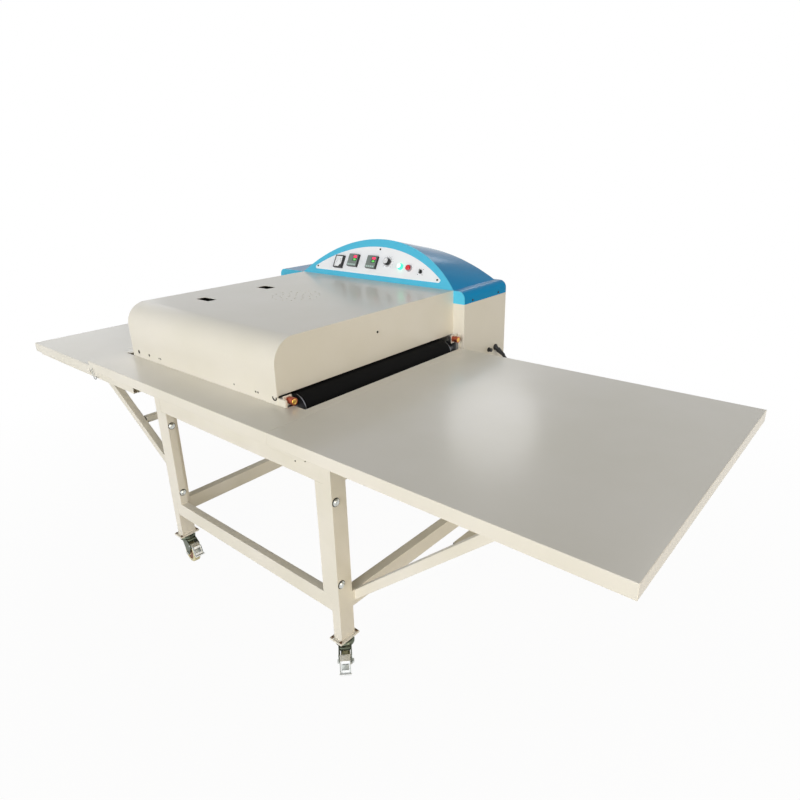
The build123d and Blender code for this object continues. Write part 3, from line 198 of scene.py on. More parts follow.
lead_points = [
    LEAD_START,
    LEAD_FIRST,
    Vector((0.298, 0.549, 0.572)),
    Vector((0.320, 0.546, 0.502)),
    Vector((0.334, 0.530, 0.400)),
    Vector((0.336, 0.505, 0.285)),
    Vector((0.328, 0.482, 0.180)),
    Vector((0.324, 0.466, 0.098)),
    Vector((0.345, 0.459, 0.034)),
    Vector((0.392, 0.458, FLOOR_RISE)),
    Vector((0.439, 0.458, FLOOR_RISE)),
]
side, radius, height = COIL_SIDE, COIL_SIDE, FLOOR_RISE
for half in range(8):
    outward = -1 if half < 5 else 1
    if half:
        radius += outward * COIL_STEP / 2
    front = half % 2 == 0
    middle = side - radius if front else side + radius
    climb = COIL_STEP if half == 4 else 0.0
    reach = radius / cos(pi / HALF_TURN_POINTS / 2)
    for step in range(HALF_TURN_POINTS):
        share = (step + 0.5) / HALF_TURN_POINTS
        angle = pi * share if front else pi + pi * share
        x, y = middle + reach * cos(angle), reach * sin(angle)
        lead_points.append(COIL_MIDDLE + Vector((y, -x, height + climb * share)))
    height += climb
    side = middle - radius if front else middle + radius
lead_points.append(COIL_MIDDLE + Vector((0.058, -side, height)))

lead_line = bpy.data.curves.new("mains_lead", "CURVE")
lead_line.dimensions = "3D"
lead_line.bevel_depth = CORD_THICK / 2
lead_line.bevel_resolution = 5
lead_line.resolution_u = 10
lead_line.use_fill_caps = True
lead_spline = lead_line.splines.new("NURBS")
lead_spline.points.add(len(lead_points) - 1)
for point, place in zip(lead_spline.points, lead_points):
    point.co = (*place, 1.0)
lead_spline.order_u = 3
lead_spline.use_endpoint_u = True
mains_lead = bpy.data.objects.new("mains_lead", lead_line)
scene.collection.objects.link(mains_lead)

# Rubber sheath: matt black with a faint grain of about half a millimetre and dull highlights.
cord_rubber, cord_out = new_finish("rubber_sheath")
rubber_at = add_node(cord_rubber, "ShaderNodeTexCoord")
rubber_grain = add_node(
    cord_rubber,
    "ShaderNodeTexNoise",
    {"Scale": 1600.0, "Detail": 3.0},
    {"Vector": rubber_at.outputs["Object"]},
)
rubber_bump = add_node(
    cord_rubber,
    "ShaderNodeBump",
    {"Strength": 0.25, "Distance": 0.0002},
    {"Height": rubber_grain.outputs["Fac"]},
)
rubber_skin = add_node(
    cord_rubber,
    "ShaderNodeBsdfPrincipled",
    {"Base Color": colour("#1B1B1C"), "Roughness": 0.55, "IOR": 1.52},
    {"Normal": rubber_bump.outputs["Normal"]},
)
cord_rubber.node_tree.links.new(rubber_skin.outputs[0], cord_out.inputs["Surface"])
lead_line.materials.append(cord_rubber)


def wear(finish, *nodes):
    """Gives CAD nodes a finish in every slot."""
    for name in nodes:
        cad_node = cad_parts[name]
        if not cad_node.material_slots:
            cad_node.data.materials.append(finish)
        for each in cad_node.material_slots:
            each.material = finish


wear(cord_rubber, "plug", "cord_gland")


def turned(name, rings, around=32):
    """A turned solid: a disc drawn up along Z, ring by ring, each ring a height and a radius."""
    height, radius = rings[0]
    bpy.ops.object.select_all(action="DESELECT")
    bpy.ops.mesh.primitive_circle_add(vertices=around, radius=radius, fill_type="NGON")
    piece = bpy.context.object
    piece.name = name
    piece.data.name = name
    bpy.ops.object.mode_set(mode="EDIT")
    bpy.ops.transform.translate(value=(0, 0, height))
    for next_height, next_radius in rings[1:]:
        bpy.ops.mesh.extrude_region_move(TRANSFORM_OT_translate={"value": (0, 0, next_height - height)})
        share = next_radius / radius
        bpy.ops.transform.resize(value=(share, share, 1), center_override=(0, 0, next_height))
        height, radius = next_height, next_radius
    bpy.ops.mesh.select_all(action="SELECT")
    bpy.ops.mesh.normals_make_consistent(inside=False)
    bpy.ops.object.mode_set(mode="OBJECT")
    bpy.ops.object.shade_smooth_by_angle(angle=radians(38))
    return piece


def fit(piece, finish, body, place=Matrix()):
    """Gives a new piece its finish, puts its place into its mesh and lets it ride on a body."""
    piece.data.materials.clear()
    piece.data.materials.append(finish)
    piece.data.transform(place @ piece.matrix_basis)
    piece.matrix_basis = Matrix()
    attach(piece, body)
    return piece


# The lead's boot: a tapered rubber sleeve with five ribs, moulded round the lead and pushed over
# the gland's neck, so that the lead can't kink where it leaves the box.
BOOT_LONG = 0.036
BOOT_RIBS = 5
RIB_STEP = 0.0058
boot_rings = [(0.0, 0.0098), (0.003, 0.0104)]
for rib in range(BOOT_RIBS):
    foot = 0.0045 + RIB_STEP * rib
    wide = 0.0099 - 0.0006 * rib
    boot_rings += [(foot, wide - 0.0016), (foot + 0.0012, wide)]
    boot_rings += [(foot + 0.0034, wide - 0.0002), (foot + 0.0046, wide - 0.0018)]
boot_rings.append((BOOT_LONG, 0.0061))
lead_boot = turned("lead_boot", boot_rings, 28)
boot_turn = (LEAD_FIRST - LEAD_START).to_track_quat("Z", "Y").to_matrix().to_4x4()
boot_place = Matrix.Translation(LEAD_START) @ boot_turn @ Matrix.Translation((0, 0, -0.003))
fit(lead_boot, cord_rubber, "press", boot_place)
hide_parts("power_cord", "cord_coil")
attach(mains_lead, "press")

# The stand: welded box tube, 50 by 30 mm, powder coated cream over the welds.
# The coat is a little grained and slightly warm, and varies a little in tone in soft clouds.
cream_coat, coat_out = new_finish("cream_powder_coat")
coat_at = add_node(cream_coat, "ShaderNodeTexCoord")
coat_cloud = add_node(
    cream_coat,
    "ShaderNodeTexNoise",
    {"Scale": 6.0, "Detail": 4.0},
    {"Vector": coat_at.outputs["Object"]},
)
coat_tint = add_node(cream_coat, "ShaderNodeValToRGB", None, {"Fac": coat_cloud.outputs["Fac"]})
coat_tint.color_ramp.elements[0].position = 0.35
coat_tint.color_ramp.elements[0].color = colour("#E2DDCE")
coat_tint.color_ramp.elements[1].position = 0.65
coat_tint.color_ramp.elements[1].color = colour("#E8E3D7")
coat_grain = add_node(
    cream_coat,
    "ShaderNodeTexNoise",
    {"Scale": 700.0, "Detail": 2.0},
    {"Vector": coat_at.outputs["Object"]},
)
coat_bump = add_node(
    cream_coat,
    "ShaderNodeBump",
    {"Strength": 0.18, "Distance": 0.0004},
    {"Height": coat_grain.outputs["Fac"]},
)
coat_skin = add_node(
    cream_coat,
    "ShaderNodeBsdfPrincipled",
    {"Roughness": 0.45, "IOR": 1.5, "Coat Weight": 0.25, "Coat Roughness": 0.2},
    {"Base Color": coat_tint.outputs["Color"], "Normal": coat_bump.outputs["Normal"]},
)
cream_coat.node_tree.links.new(coat_skin.outputs[0], coat_out.inputs["Surface"])


def ease(name, width):
    """Rounds a CAD node's sharp edges by a small, even width, and keeps its flat faces flat."""
    cad_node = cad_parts[name]
    weld = cad_node.modifiers.new("join", "WELD")
    weld.merge_threshold = 0.00002
    soften = cad_node.modifiers.new("soften", "BEVEL")
    soften.width = width
    soften.segments = 2
    soften.limit_method = "ANGLE"
    soften.angle_limit = radians(40)
    level = cad_node.modifiers.new("level", "WEIGHTED_NORMAL")
    level.weight = 100


# The legs and uprights keep sharp edges: a bevel tears thin streaks beside their bolt holes.
wear(cream_coat, "legs", "frame_uprights")
for name in ("front_rails", "rear_rails", "side_rails", "foot_plates", "table_arms", "left_braces",
             "right_braces", "brace_cross_bars"):
    wear(cream_coat, name)
    ease(name, 0.0015)

# The frame bolts: cup-head bolts of bright zinc through each leg and upright, on dark washers.
# Their nuts are thin and lie nearly flush in the tube's wall.
BOLT_FACES = (-0.3535, 0.4305)
BOLT_ROWS = (-0.532, 0.275)
BOLT_HEIGHTS = (0.291, 0.542)
FACE_RIGHT = Matrix.Rotation(pi / 2, 4, "Y")


def metal_finish(name, code, rough_low, rough_high, spots):
    """A bare or plated metal: its colour, and a roughness that changes in cloudy spots."""
    finish, out = new_finish(name)
    at = add_node(finish, "ShaderNodeTexCoord")
    cloud = add_node(
        finish, "ShaderNodeTexNoise", {"Scale": spots, "Detail": 4.0}, {"Vector": at.outputs["Object"]}
    )
    rough = add_node(
        finish,
        "ShaderNodeMapRange",
        {"To Min": rough_low, "To Max": rough_high},
        {"Value": cloud.outputs["Fac"]},
    )
    skin = add_node(
        finish,
        "ShaderNodeBsdfPrincipled",
        {"Base Color": colour(code), "Metallic": 1.0},
        {"Roughness": rough.outputs["Result"]},
    )
    finish.node_tree.links.new(skin.outputs[0], out.inputs["Surface"])
    return finish


def again(piece, name):
    """A copy of a piece with its own mesh."""
    twin = piece.copy()
    twin.data = piece.data.copy()
    twin.name = name
    scene.collection.objects.link(twin)
    return twin


# Bright zinc mirrors softly; the washers are dark steel, coloured nearly black as a painted shade under each
# head.
bright_zinc = metal_finish("bright_zinc", "#C9CCC8", 0.2, 0.36, 120.0)
# Browned steel is near black; on the washers, behind the cover's holes and in the outlet notch that colour is
# painted shade.
browned_steel_and_painted_shade = metal_finish("browned_steel_and_painted_shade", "#3B3934", 0.35, 0.55, 200.0)

bolt_rings = [(-0.0618, 0.0072), (-0.0604, 0.0078), (-0.0600, 0.0050), (0.0010, 0.0050)]
bolt_rings += [(0.0012, 0.0104), (0.0024, 0.0106), (0.0044, 0.0090), (0.0058, 0.0062)]
bolt_rings += [(0.0065, 0.0030), (0.0067, 0.0008)]
cup_bolt = turned("cup_bolt", bolt_rings, 28)
washer = turned("bolt_washer", [(0.0, 0.0121), (0.0012, 0.0123), (0.0017, 0.0117), (0.0017, 0.0105)], 28)
bolts = []
for face in BOLT_FACES:
    for row in BOLT_ROWS:
        for height in BOLT_HEIGHTS:
            place = Matrix.Translation((face, row, height)) @ FACE_RIGHT
            number = str(len(bolts) + 1)
            bolt = again(cup_bolt, "frame_bolt_" + number)
            bolts.append(fit(bolt, bright_zinc, "press", place))
            fit(again(washer, "frame_washer_" + number), browned_steel_and_painted_shade, "press", place)
bpy.data.objects.remove(cup_bolt)
bpy.data.objects.remove(washer)
for bolt in bolts:
    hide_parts("frame_bolts")

# The foot plates' screws: four small hexagon screws to each castor, browned by rust, which stand
# in the slots at the plate's corners.
LEG_MIDDLES = {
    "front_left": (-0.3985, -0.5195),
    "front_right": (0.4155, -0.5195),
    "back_left": (-0.3985, 0.2625),
    "back_right": (0.4155, 0.2625),
}
FOOT_TOP = 0.108
SCREW_ACROSS = 0.0165
SCREW_ALONG = 0.0305
rusty_steel = metal_finish("rusty_steel", "#66503E", 0.5, 0.75, 260.0)
foot_screw = turned("foot_screw", [(0.0, 0.0037), (0.0024, 0.0037), (0.0030, 0.0032), (0.0030, 0.0026)], 6)
for corner, (leg_x, leg_y) in LEG_MIDDLES.items():
    for across, along in ((-1, -1), (-1, 1), (1, -1), (1, 1)):
        place = Matrix.Translation((leg_x + across * SCREW_ACROSS, leg_y + along * SCREW_ALONG, FOOT_TOP))
        screw = again(foot_screw, f"foot_screw_{corner}_{across + 1}_{along + 1}")
        fit(screw, rusty_steel, "press", place)
bpy.data.objects.remove(foot_screw)

# The castors: pressed forks with a greenish passivated zinc coat, chromed brake pedals, and cream
# nylon wheels on brown hubs, held by an axle bolt with a nut at each side.
CASTOR_HEADINGS = {"front_left": -6, "front_right": -45, "back_left": 100, "back_right": 75}
TRAIL = 0.026
AXLE_HEIGHT = 0.0375
AXLE_REACH = 0.0182
WEB_PLACE = (0.010, 0, 0.0805)
TREAD_PLACE = (0.0735, 0, 0.063)
TREAD_LEAN = radians(64.3)
PAD_PLACE = (0.001, 0, 0.0020)
FLANGE_ALONG = 0.002
FLANGE_ACROSS = 0.0140
FLANGE_DROP = 0.0008

passivated_zinc = metal_finish("passivated_zinc", "#656C5E", 0.3, 0.5, 90.0)
pedal_chrome = metal_finish("pedal_chrome", "#E4E6E6", 0.28, 0.42, 60.0)
# Dull zinc is darker than the chrome; on the pedals' side flanges it is a painted reflection of dark
# surroundings on the rolled edges.
dull_zinc_and_painted_reflection = metal_finish("dull_zinc_and_painted_reflection", "#8C908D", 0.4, 0.55, 60.0)

nylon, nylon_out = new_finish("cream_nylon")
nylon_at = add_node(nylon, "ShaderNodeTexCoord")
nylon_cloud = add_node(
    nylon, "ShaderNodeTexNoise", {"Scale": 90.0, "Detail": 5.0}, {"Vector": nylon_at.outputs["Object"]}
)
nylon_tint = add_node(nylon, "ShaderNodeValToRGB", None, {"Fac": nylon_cloud.outputs["Fac"]})
nylon_tint.color_ramp.elements[0].color = colour("#B9AF86")
nylon_tint.color_ramp.elements[1].color = colour("#E2DDB6")
nylon_skin = add_node(
    nylon,
    "ShaderNodeBsdfPrincipled",
    {"Roughness": 0.42, "IOR": 1.53},
    {"Base Color": nylon_tint.outputs["Color"]},
)
nylon.node_tree.links.new(nylon_skin.outputs[0], nylon_out.inputs["Surface"])

hub_plastic, hub_out = new_finish("brown_hub_plastic")
hub_at = add_node(hub_plastic, "ShaderNodeTexCoord")
hub_grain = add_node(
    hub_plastic, "ShaderNodeTexNoise", {"Scale": 500.0, "Detail": 3.0}, {"Vector": hub_at.outputs["Object"]}
)
hub_bump = add_node(
    hub_plastic, "ShaderNodeBump", {"Strength": 0.2, "Distance": 0.0002}, {"Height": hub_grain.outputs["Fac"]}
)
hub_skin = add_node(
    hub_plastic,
    "ShaderNodeBsdfPrincipled",
    {"Base Color": colour("#7A4A38"), "Roughness": 0.5},
    {"Normal": hub_bump.outputs["Normal"]},
)
hub_plastic.node_tree.links.new(hub_skin.outputs[0], hub_out.inputs["Surface"])


def block(name, size, edge):
    """A block with rounded edges, which stands on the XY plane."""
    bpy.ops.object.select_all(action="DESELECT")
    bpy.ops.mesh.primitive_cube_add(size=1)
    piece = bpy.context.object
    piece.name = name
    piece.data.name = name
    bpy.ops.object.mode_set(mode="EDIT")
    bpy.ops.mesh.select_all(action="SELECT")
    bpy.ops.transform.resize(value=size, center_override=(0, 0, 0))
    bpy.ops.transform.translate(value=(0, 0, size[2] / 2))
    bpy.ops.mesh.bevel(offset=edge, segments=2, affect="EDGES")
    bpy.ops.object.mode_set(mode="OBJECT")
    bpy.ops.object.shade_smooth_by_angle(angle=radians(38))
    return piece


axle_nut = turned("axle_nut", [(0.0, 0.0066), (0.0042, 0.0066), (0.0050, 0.0058), (0.0056, 0.0030)], 6)
hub_disc = turned("hub_disc", [(0.0078, 0.0258), (0.0090, 0.0262), (0.0098, 0.0240), (0.0102, 0.0115)], 40)
crown = turned("fork_crown", [(0.0840, 0.0245), (0.0860, 0.0268), (0.0920, 0.0272), (0.0985, 0.0225)], 40)
web = block("fork_web", (0.050, 0.0308, 0.0115), 0.003)
pad = block("pedal_pad", (0.0150, 0.0190, 0.0008), 0.0003)
flange = block("pedal_flange", (0.0330, 0.0016, 0.0062), 0.0005)
pedal_tread = Matrix.Translation(TREAD_PLACE) @ Matrix.Rotation(TREAD_LEAN, 4, "Y")
for corner, (leg_x, leg_y) in LEG_MIDDLES.items():
    heading = Matrix.Rotation(radians(CASTOR_HEADINGS[corner]), 4, "Z")
    stand = Matrix.Translation((leg_x, leg_y, 0)) @ heading
    wear(passivated_zinc, "castor_fork_" + corner)
    wear(pedal_chrome, "castor_pedal_" + corner)
    wear(nylon, "castor_wheel_" + corner)
    fit(again(crown, "fork_crown_" + corner), passivated_zinc, "castor_" + corner, stand)
    web_place = stand @ Matrix.Translation(WEB_PLACE)
    fit(again(web, "fork_web_" + corner), passivated_zinc, "castor_" + corner, web_place)
    # Each pedal's tread carries a grey pad where its recess is, and dull zinc side flanges whose darker
    # colour paints the dark reflections along its rolled edges.
    tread = stand @ pedal_tread
    fit(again(pad, "pedal_pad_" + corner), dull_zinc_and_painted_reflection, "pedal_" + corner,
        tread @ Matrix.Translation(PAD_PLACE))
    for side, across in (("left", -FLANGE_ACROSS), ("right", FLANGE_ACROSS)):
        fit(again(flange, "pedal_flange_" + corner + "_" + side), dull_zinc_and_painted_reflection, "pedal_" + corner,
            tread @ Matrix.Translation((FLANGE_ALONG, across, -FLANGE_DROP)))
    for side, turn_out in (("left", -pi / 2), ("right", pi / 2)):
        axle = stand @ Matrix.Translation((TRAIL, 0, AXLE_HEIGHT)) @ Matrix.Rotation(turn_out, 4, "X")
        nut = again(axle_nut, "axle_nut_" + corner + "_" + side)
        fit(nut, bright_zinc, "castor_" + corner, axle @ Matrix.Translation((0, 0, AXLE_REACH)))
        disc = again(hub_disc, "hub_disc_" + corner + "_" + side)
        fit(disc, hub_plastic, "wheel_" + corner, axle)
for pattern in (axle_nut, hub_disc, crown, web, pad, flange):
    bpy.data.objects.remove(pattern)

# The tables: folded 2 mm sheet steel with a fine orange-peel powder coat, whose grain blurs the
# lights it mirrors. Their edges are folded down all round.
orange_peel, peel_out = new_finish("orange_peel_coat")
peel_at = add_node(orange_peel, "ShaderNodeTexCoord")
peel_cloud = add_node(
    orange_peel,
    "ShaderNodeTexNoise",
    {"Scale": 3.0, "Detail": 4.0},
    {"Vector": peel_at.outputs["Object"]},
)
peel_tint = add_node(orange_peel, "ShaderNodeValToRGB", None, {"Fac": peel_cloud.outputs["Fac"]})
peel_tint.color_ramp.elements[0].position = 0.35
peel_tint.color_ramp.elements[0].color = colour("#E2DDCE")
peel_tint.color_ramp.elements[1].position = 0.65
peel_tint.color_ramp.elements[1].color = colour("#E8E3D7")
peel_grain = add_node(
    orange_peel,
    "ShaderNodeTexNoise",
    {"Scale": 300.0, "Detail": 2.0},
    {"Vector": peel_at.outputs["Object"]},
)
peel_bump = add_node(
    orange_peel,
    "ShaderNodeBump",
    {"Strength": 0.1, "Distance": 0.0005},
    {"Height": peel_grain.outputs["Fac"]},
)
peel_gloss = add_node(
    orange_peel,
    "ShaderNodeBump",
    {"Strength": 0.05, "Distance": 0.0005},
    {"Height": peel_grain.outputs["Fac"]},
)
peel_skin = add_node(
    orange_peel,
    "ShaderNodeBsdfPrincipled",
    {"Roughness": 0.4, "IOR": 1.5, "Coat Weight": 0.5, "Coat Roughness": 0.16},
    {
        "Base Color": peel_tint.outputs["Color"],
        "Normal": peel_bump.outputs["Normal"],
        "Coat Normal": peel_gloss.outputs["Normal"],
    },
)
orange_peel.node_tree.links.new(peel_skin.outputs[0], peel_out.inputs["Surface"])
for name in ("centre_table", "left_table", "right_table"):
    wear(orange_peel, name)
    ease(name, 0.0015)

# The table hook: a bent 3 mm wire that hangs from the front flange beside the infeed seam.
hook_line = bpy.data.curves.new("table_hook", "CURVE")
hook_line.dimensions = "3D"
hook_line.bevel_depth = 0.0013
hook_line.bevel_resolution = 3
hook_line.use_fill_caps = True
hook_spline = hook_line.splines.new("NURBS")
hook_points = [(-0.6840, -0.6140, 0.7010), (-0.6840, -0.6190, 0.6990), (-0.6820, -0.6190, 0.6860)]
hook_points += [(-0.6760, -0.6190, 0.6690), (-0.6660, -0.6190, 0.6640), (-0.6570, -0.6190, 0.6690)]
hook_points += [(-0.6540, -0.6190, 0.6780)]
hook_spline.points.add(len(hook_points) - 1)
for point, place in zip(hook_spline.points, hook_points):
    point.co = (*place, 1.0)
hook_spline.order_u = 3
hook_spline.use_endpoint_u = True
table_hook = bpy.data.objects.new("table_hook", hook_line)
scene.collection.objects.link(table_hook)
bpy.ops.object.select_all(action="DESELECT")
table_hook.select_set(True)
bpy.context.view_layer.objects.active = table_hook
bpy.ops.object.convert(target="MESH")
fit(bpy.context.object, dull_zinc_and_painted_reflection, "press")

# The press head's frame: a folded pan and two cut steel plates, coated like the stand.
# The front plate ends behind the cover at the infeed, where the photograph shows no foot of it.
PLATE_END = -0.638
wear(cream_coat, "base_pan", "front_side_plate", "rear_side_plate")
ease("rear_side_plate", 0.001)
cut_plate = again(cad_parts["front_side_plate"], "cut_front_plate")
cut_plate.parent = None
cut_plate.matrix_basis = Matrix()
bpy.ops.object.select_all(action="DESELECT")
cut_plate.select_set(True)
bpy.context.view_layer.objects.active = cut_plate
bpy.ops.object.mode_set(mode="EDIT")
bpy.ops.mesh.select_all(action="SELECT")
bpy.ops.mesh.remove_doubles(threshold=0.00002)
bpy.ops.mesh.bisect(plane_co=(PLATE_END, 0, 0), plane_no=(-1, 0, 0), use_fill=True, clear_outer=True)
bpy.ops.object.mode_set(mode="OBJECT")
cut_plate.modifiers.clear()
soften = cut_plate.modifiers.new("soften", "BEVEL")
soften.width = 0.001
soften.segments = 2
bpy.ops.object.modifier_apply(modifier="soften")
fit(cut_plate, cream_coat, "press")
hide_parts("front_side_plate")

# The rollers, shafts and bearing blocks: ground steel, plain and slightly oiled.
ground_steel, steel_out = new_finish("ground_steel")
steel_at = add_node(ground_steel, "ShaderNodeTexCoord")
steel_cloud = add_node(
    ground_steel,
    "ShaderNodeTexNoise",
    {"Scale": 60.0, "Detail": 4.0},
    {"Vector": steel_at.outputs["Object"]},
)
steel_rough = add_node(
    ground_steel,
    "ShaderNodeMapRange",
    {"To Min": 0.28, "To Max": 0.45},
    {"Value": steel_cloud.outputs["Fac"]},
)
steel_skin = add_node(
    ground_steel,
    "ShaderNodeBsdfPrincipled",
    {"Base Color": colour("#8E8F92"), "Metallic": 1.0},
    {"Roughness": steel_rough.outputs["Result"]},
)
ground_steel.node_tree.links.new(steel_skin.outputs[0], steel_out.inputs["Surface"])
wear(
    ground_steel, "lower_outlet_roller", "lower_infeed_roller", "upper_outlet_roller", "upper_infeed_roller",
    "pressure_roller", "bearing_blocks", "motor_sprocket", "drive_chain",
)

# The heater plates: milled aluminium, dull from heat.
milled_aluminium, milled_out = new_finish("milled_aluminium")
milled_at = add_node(milled_aluminium, "ShaderNodeTexCoord")
milled_lines = add_node(
    milled_aluminium,
    "ShaderNodeTexWave",
    {"Scale": 120.0, "Distortion": 1.0},
    {"Vector": milled_at.outputs["Object"]},
)
milled_rough = add_node(
    milled_aluminium,
    "ShaderNodeMapRange",
    {"To Min": 0.35, "To Max": 0.5},
    {"Value": milled_lines.outputs["Fac"]},
)
milled_skin = add_node(
    milled_aluminium,
    "ShaderNodeBsdfPrincipled",
    {"Base Color": colour("#B9BABC"), "Metallic": 1.0},
    {"Roughness": milled_rough.outputs["Result"]},
)
milled_aluminium.node_tree.links.new(milled_skin.outputs[0], milled_out.inputs["Surface"])
wear(milled_aluminium, "heater_plates")

# The belts: woven glass cloth with a black non-stick coat. The weave, really 1 mm, shows as a
# faint even rib, and the coat has a low sheen.
coated_cloth, cloth_out = new_finish("coated_glass_cloth")
cloth_at = add_node(coated_cloth, "ShaderNodeTexCoord")
cloth_weft = add_node(
    coated_cloth,
    "ShaderNodeTexWave",
    {"Scale": 160.0, "Distortion": 0.3},
    {"Vector": cloth_at.outputs["Object"]},
    bands_direction="Y",
)
cloth_bump = add_node(
    coated_cloth,
    "ShaderNodeBump",
    {"Strength": 0.2, "Distance": 0.0002},
    {"Height": cloth_weft.outputs["Fac"]},
)
cloth_skin = add_node(
    coated_cloth,
    "ShaderNodeBsdfPrincipled",
    {"Base Color": colour("#040404"), "Roughness": 0.75, "IOR": 1.2},
    {"Normal": cloth_bump.outputs["Normal"]},
)
coated_cloth.node_tree.links.new(cloth_skin.outputs[0], cloth_out.inputs["Surface"])
wear(coated_cloth, "lower_belt", "upper_belt")

# The feed lip: a thin folded strip that leads the cloth from the left table up over the lower
# belt's bend. It is coated like the tables and fixed at its foot.
LIP_SIZE = (0.0385, 0.804, 0.0012)
LIP_FALL = (-0.0257, 0, -0.0209)
LIP_PLACE = (-0.6635, -0.0770, 0.7445)
feed_lip = block("feed_lip", LIP_SIZE, 0.0003)
lip_edge = min(feed_lip.data.polygons, key=lambda face: face.center.x - face.area)
for face in feed_lip.data.polygons:
    face.select = face.index == lip_edge.index
bpy.ops.object.mode_set(mode="EDIT")
bpy.ops.mesh.select_mode(type="FACE")
bpy.ops.mesh.extrude_region_move(TRANSFORM_OT_translate={"value": LIP_FALL})
bpy.ops.object.mode_set(mode="OBJECT")
fit(feed_lip, orange_peel, "press", Matrix.Translation(LIP_PLACE))

# The belt adjusters: a knurled brass head turns a screw through a hexagon nut of red copper,
# which holds the outlet roller's end. Brass is yellow and polished by hands.
ADJUSTER_HEIGHT = 0.7396
ADJUSTER_FACE = 0.199
ADJUSTER_ROWS = {"front": -0.460, "rear": 0.3045}
KNURLS = 36
turned_brass = metal_finish("turned_brass", "#E0B25A", 0.14, 0.3, 200.0)
red_copper = metal_finish("red_copper", "#B4604A", 0.25, 0.4, 200.0)
wear(red_copper, "front_belt_adjuster", "rear_belt_adjuster")

head_rings = [(-0.0002, 0.0100), (0.0008, 0.0114), (0.0115, 0.0114), (0.0136, 0.0098)]
head_rings += [(0.0146, 0.0066), (0.0150, 0.0010)]
brass_head = turned("brass_head", head_rings, KNURLS)
for vertex in brass_head.data.vertices:
    step = round(Vector((vertex.co.x, vertex.co.y)).angle_signed(Vector((1, 0)), 0.0) / (2 * pi / KNURLS))
    vertex.select = step % 2 == 0 and Vector((vertex.co.x, vertex.co.y)).length > 0.0112
bpy.ops.object.mode_set(mode="EDIT")
bpy.ops.mesh.select_mode(type="VERT")
bpy.ops.transform.resize(value=(0.95, 0.95, 1), center_override=(0, 0, 0))
bpy.ops.object.mode_set(mode="OBJECT")
copper_nut = turned("copper_nut", [(-0.0102, 0.0098), (-0.0012, 0.0104), (-0.0004, 0.0092)], 6)
for end, row in ADJUSTER_ROWS.items():
    place = Matrix.Translation((ADJUSTER_FACE, row, ADJUSTER_HEIGHT)) @ FACE_RIGHT
    fit(again(brass_head, end + "_brass_head"), turned_brass, end + "_belt_adjuster", place)
    fit(again(copper_nut, end + "_copper_nut"), red_copper, end + "_belt_adjuster", place)
bpy.data.objects.remove(brass_head)
bpy.data.objects.remove(copper_nut)

# The adjusters' end plates: thin cream plates across the mouth's ends, behind the nuts, each with
# a round hole for its screw.
END_PLATE_TALL = 0.030
END_PLATE_THICK = 0.0007
END_PLATE_FACE = 0.1881
END_PLATE_HEIGHT = 0.7390
END_PLATES = {"front": (-0.4644, 0.0308), "rear": (0.3110, 0.0360)}
HOLE_RADIUS = 0.0070
for end, (middle, width) in END_PLATES.items():
    end_plate = block(end + "_end_plate", (END_PLATE_TALL, width, END_PLATE_THICK), 0.0002)
    rod = turned("hole_rod", [(-0.01, HOLE_RADIUS), (0.01, HOLE_RADIUS)])
    rod_place = (END_PLATE_HEIGHT - ADJUSTER_HEIGHT, ADJUSTER_ROWS[end] - middle, 0)
    rod.data.transform(Matrix.Translation(rod_place))
    hole = end_plate.modifiers.new("hole", "BOOLEAN")
    hole.operation = "DIFFERENCE"
    hole.object = rod
    bpy.ops.object.select_all(action="DESELECT")
    end_plate.select_set(True)
    bpy.context.view_layer.objects.active = end_plate
    bpy.ops.object.modifier_apply(modifier="hole")
    bpy.data.objects.remove(rod)
    place = Matrix.Translation((END_PLATE_FACE, middle, END_PLATE_HEIGHT)) @ FACE_RIGHT
    fit(end_plate, cream_coat, "press", place)

# The gear motor: cast case in grey enamel.
grey_enamel, enamel_out = new_finish("grey_enamel")
enamel_at = add_node(grey_enamel, "ShaderNodeTexCoord")
enamel_grain = add_node(
    grey_enamel,
    "ShaderNodeTexNoise",
    {"Scale": 250.0, "Detail": 3.0},
    {"Vector": enamel_at.outputs["Object"]},
)
enamel_bump = add_node(
    grey_enamel,
    "ShaderNodeBump",
    {"Strength": 0.4, "Distance": 0.0005},
    {"Height": enamel_grain.outputs["Fac"]},
)
enamel_skin = add_node(
    grey_enamel,
    "ShaderNodeBsdfPrincipled",
    {"Base Color": colour("#5F6466"), "Roughness": 0.4},
    {"Normal": enamel_bump.outputs["Normal"]},
)
grey_enamel.node_tree.links.new(enamel_skin.outputs[0], enamel_out.inputs["Surface"])
wear(grey_enamel, "gear_motor")

# The cover: one folded sheet with a large rolled front edge, in the tables' orange-peel coat. Its
# edges stay sharp, because a bevel tears beside its holes.
wear(orange_peel, "top_cover")

# The cover's front hardware: browned screws and rivets on the plate behind the sheet's holes, whose dark
# colour also paints the shade inside the holes, and a dark half ring in the notch at the outlet corner,
# which paints the shadow under the screw head there.
FACE_FRONT = Matrix.Rotation(pi / 2, 4, "X")
HOLE_HEIGHT = 0.743
PLATE_FACE = -0.4799
SCREW_SHADOW_PLACE = (0.1560, -0.4818, 0.7450)
RIVET_PLACE = (0.391, -0.6153, 0.679)
hole_radii = {-0.598: 0.0068, -0.527: 0.0050, -0.462: 0.0026, -0.451: 0.0034}
hole_radii.update({-0.033: 0.0029, 0.070: 0.0030, 0.081: 0.0034})
for number, (across, radius) in enumerate(hole_radii.items()):
    rings = [(0.0, radius), (0.0009, radius), (0.0011, radius * 0.72), (0.0005, radius * 0.6)]
    shade_stud = turned(f"hole_shade_stud_{number}", rings, 6 if number == 1 else 24)
    stud_place = Matrix.Translation((across, PLATE_FACE, HOLE_HEIGHT)) @ FACE_FRONT
    fit(shade_stud, browned_steel_and_painted_shade, "press", stud_place)

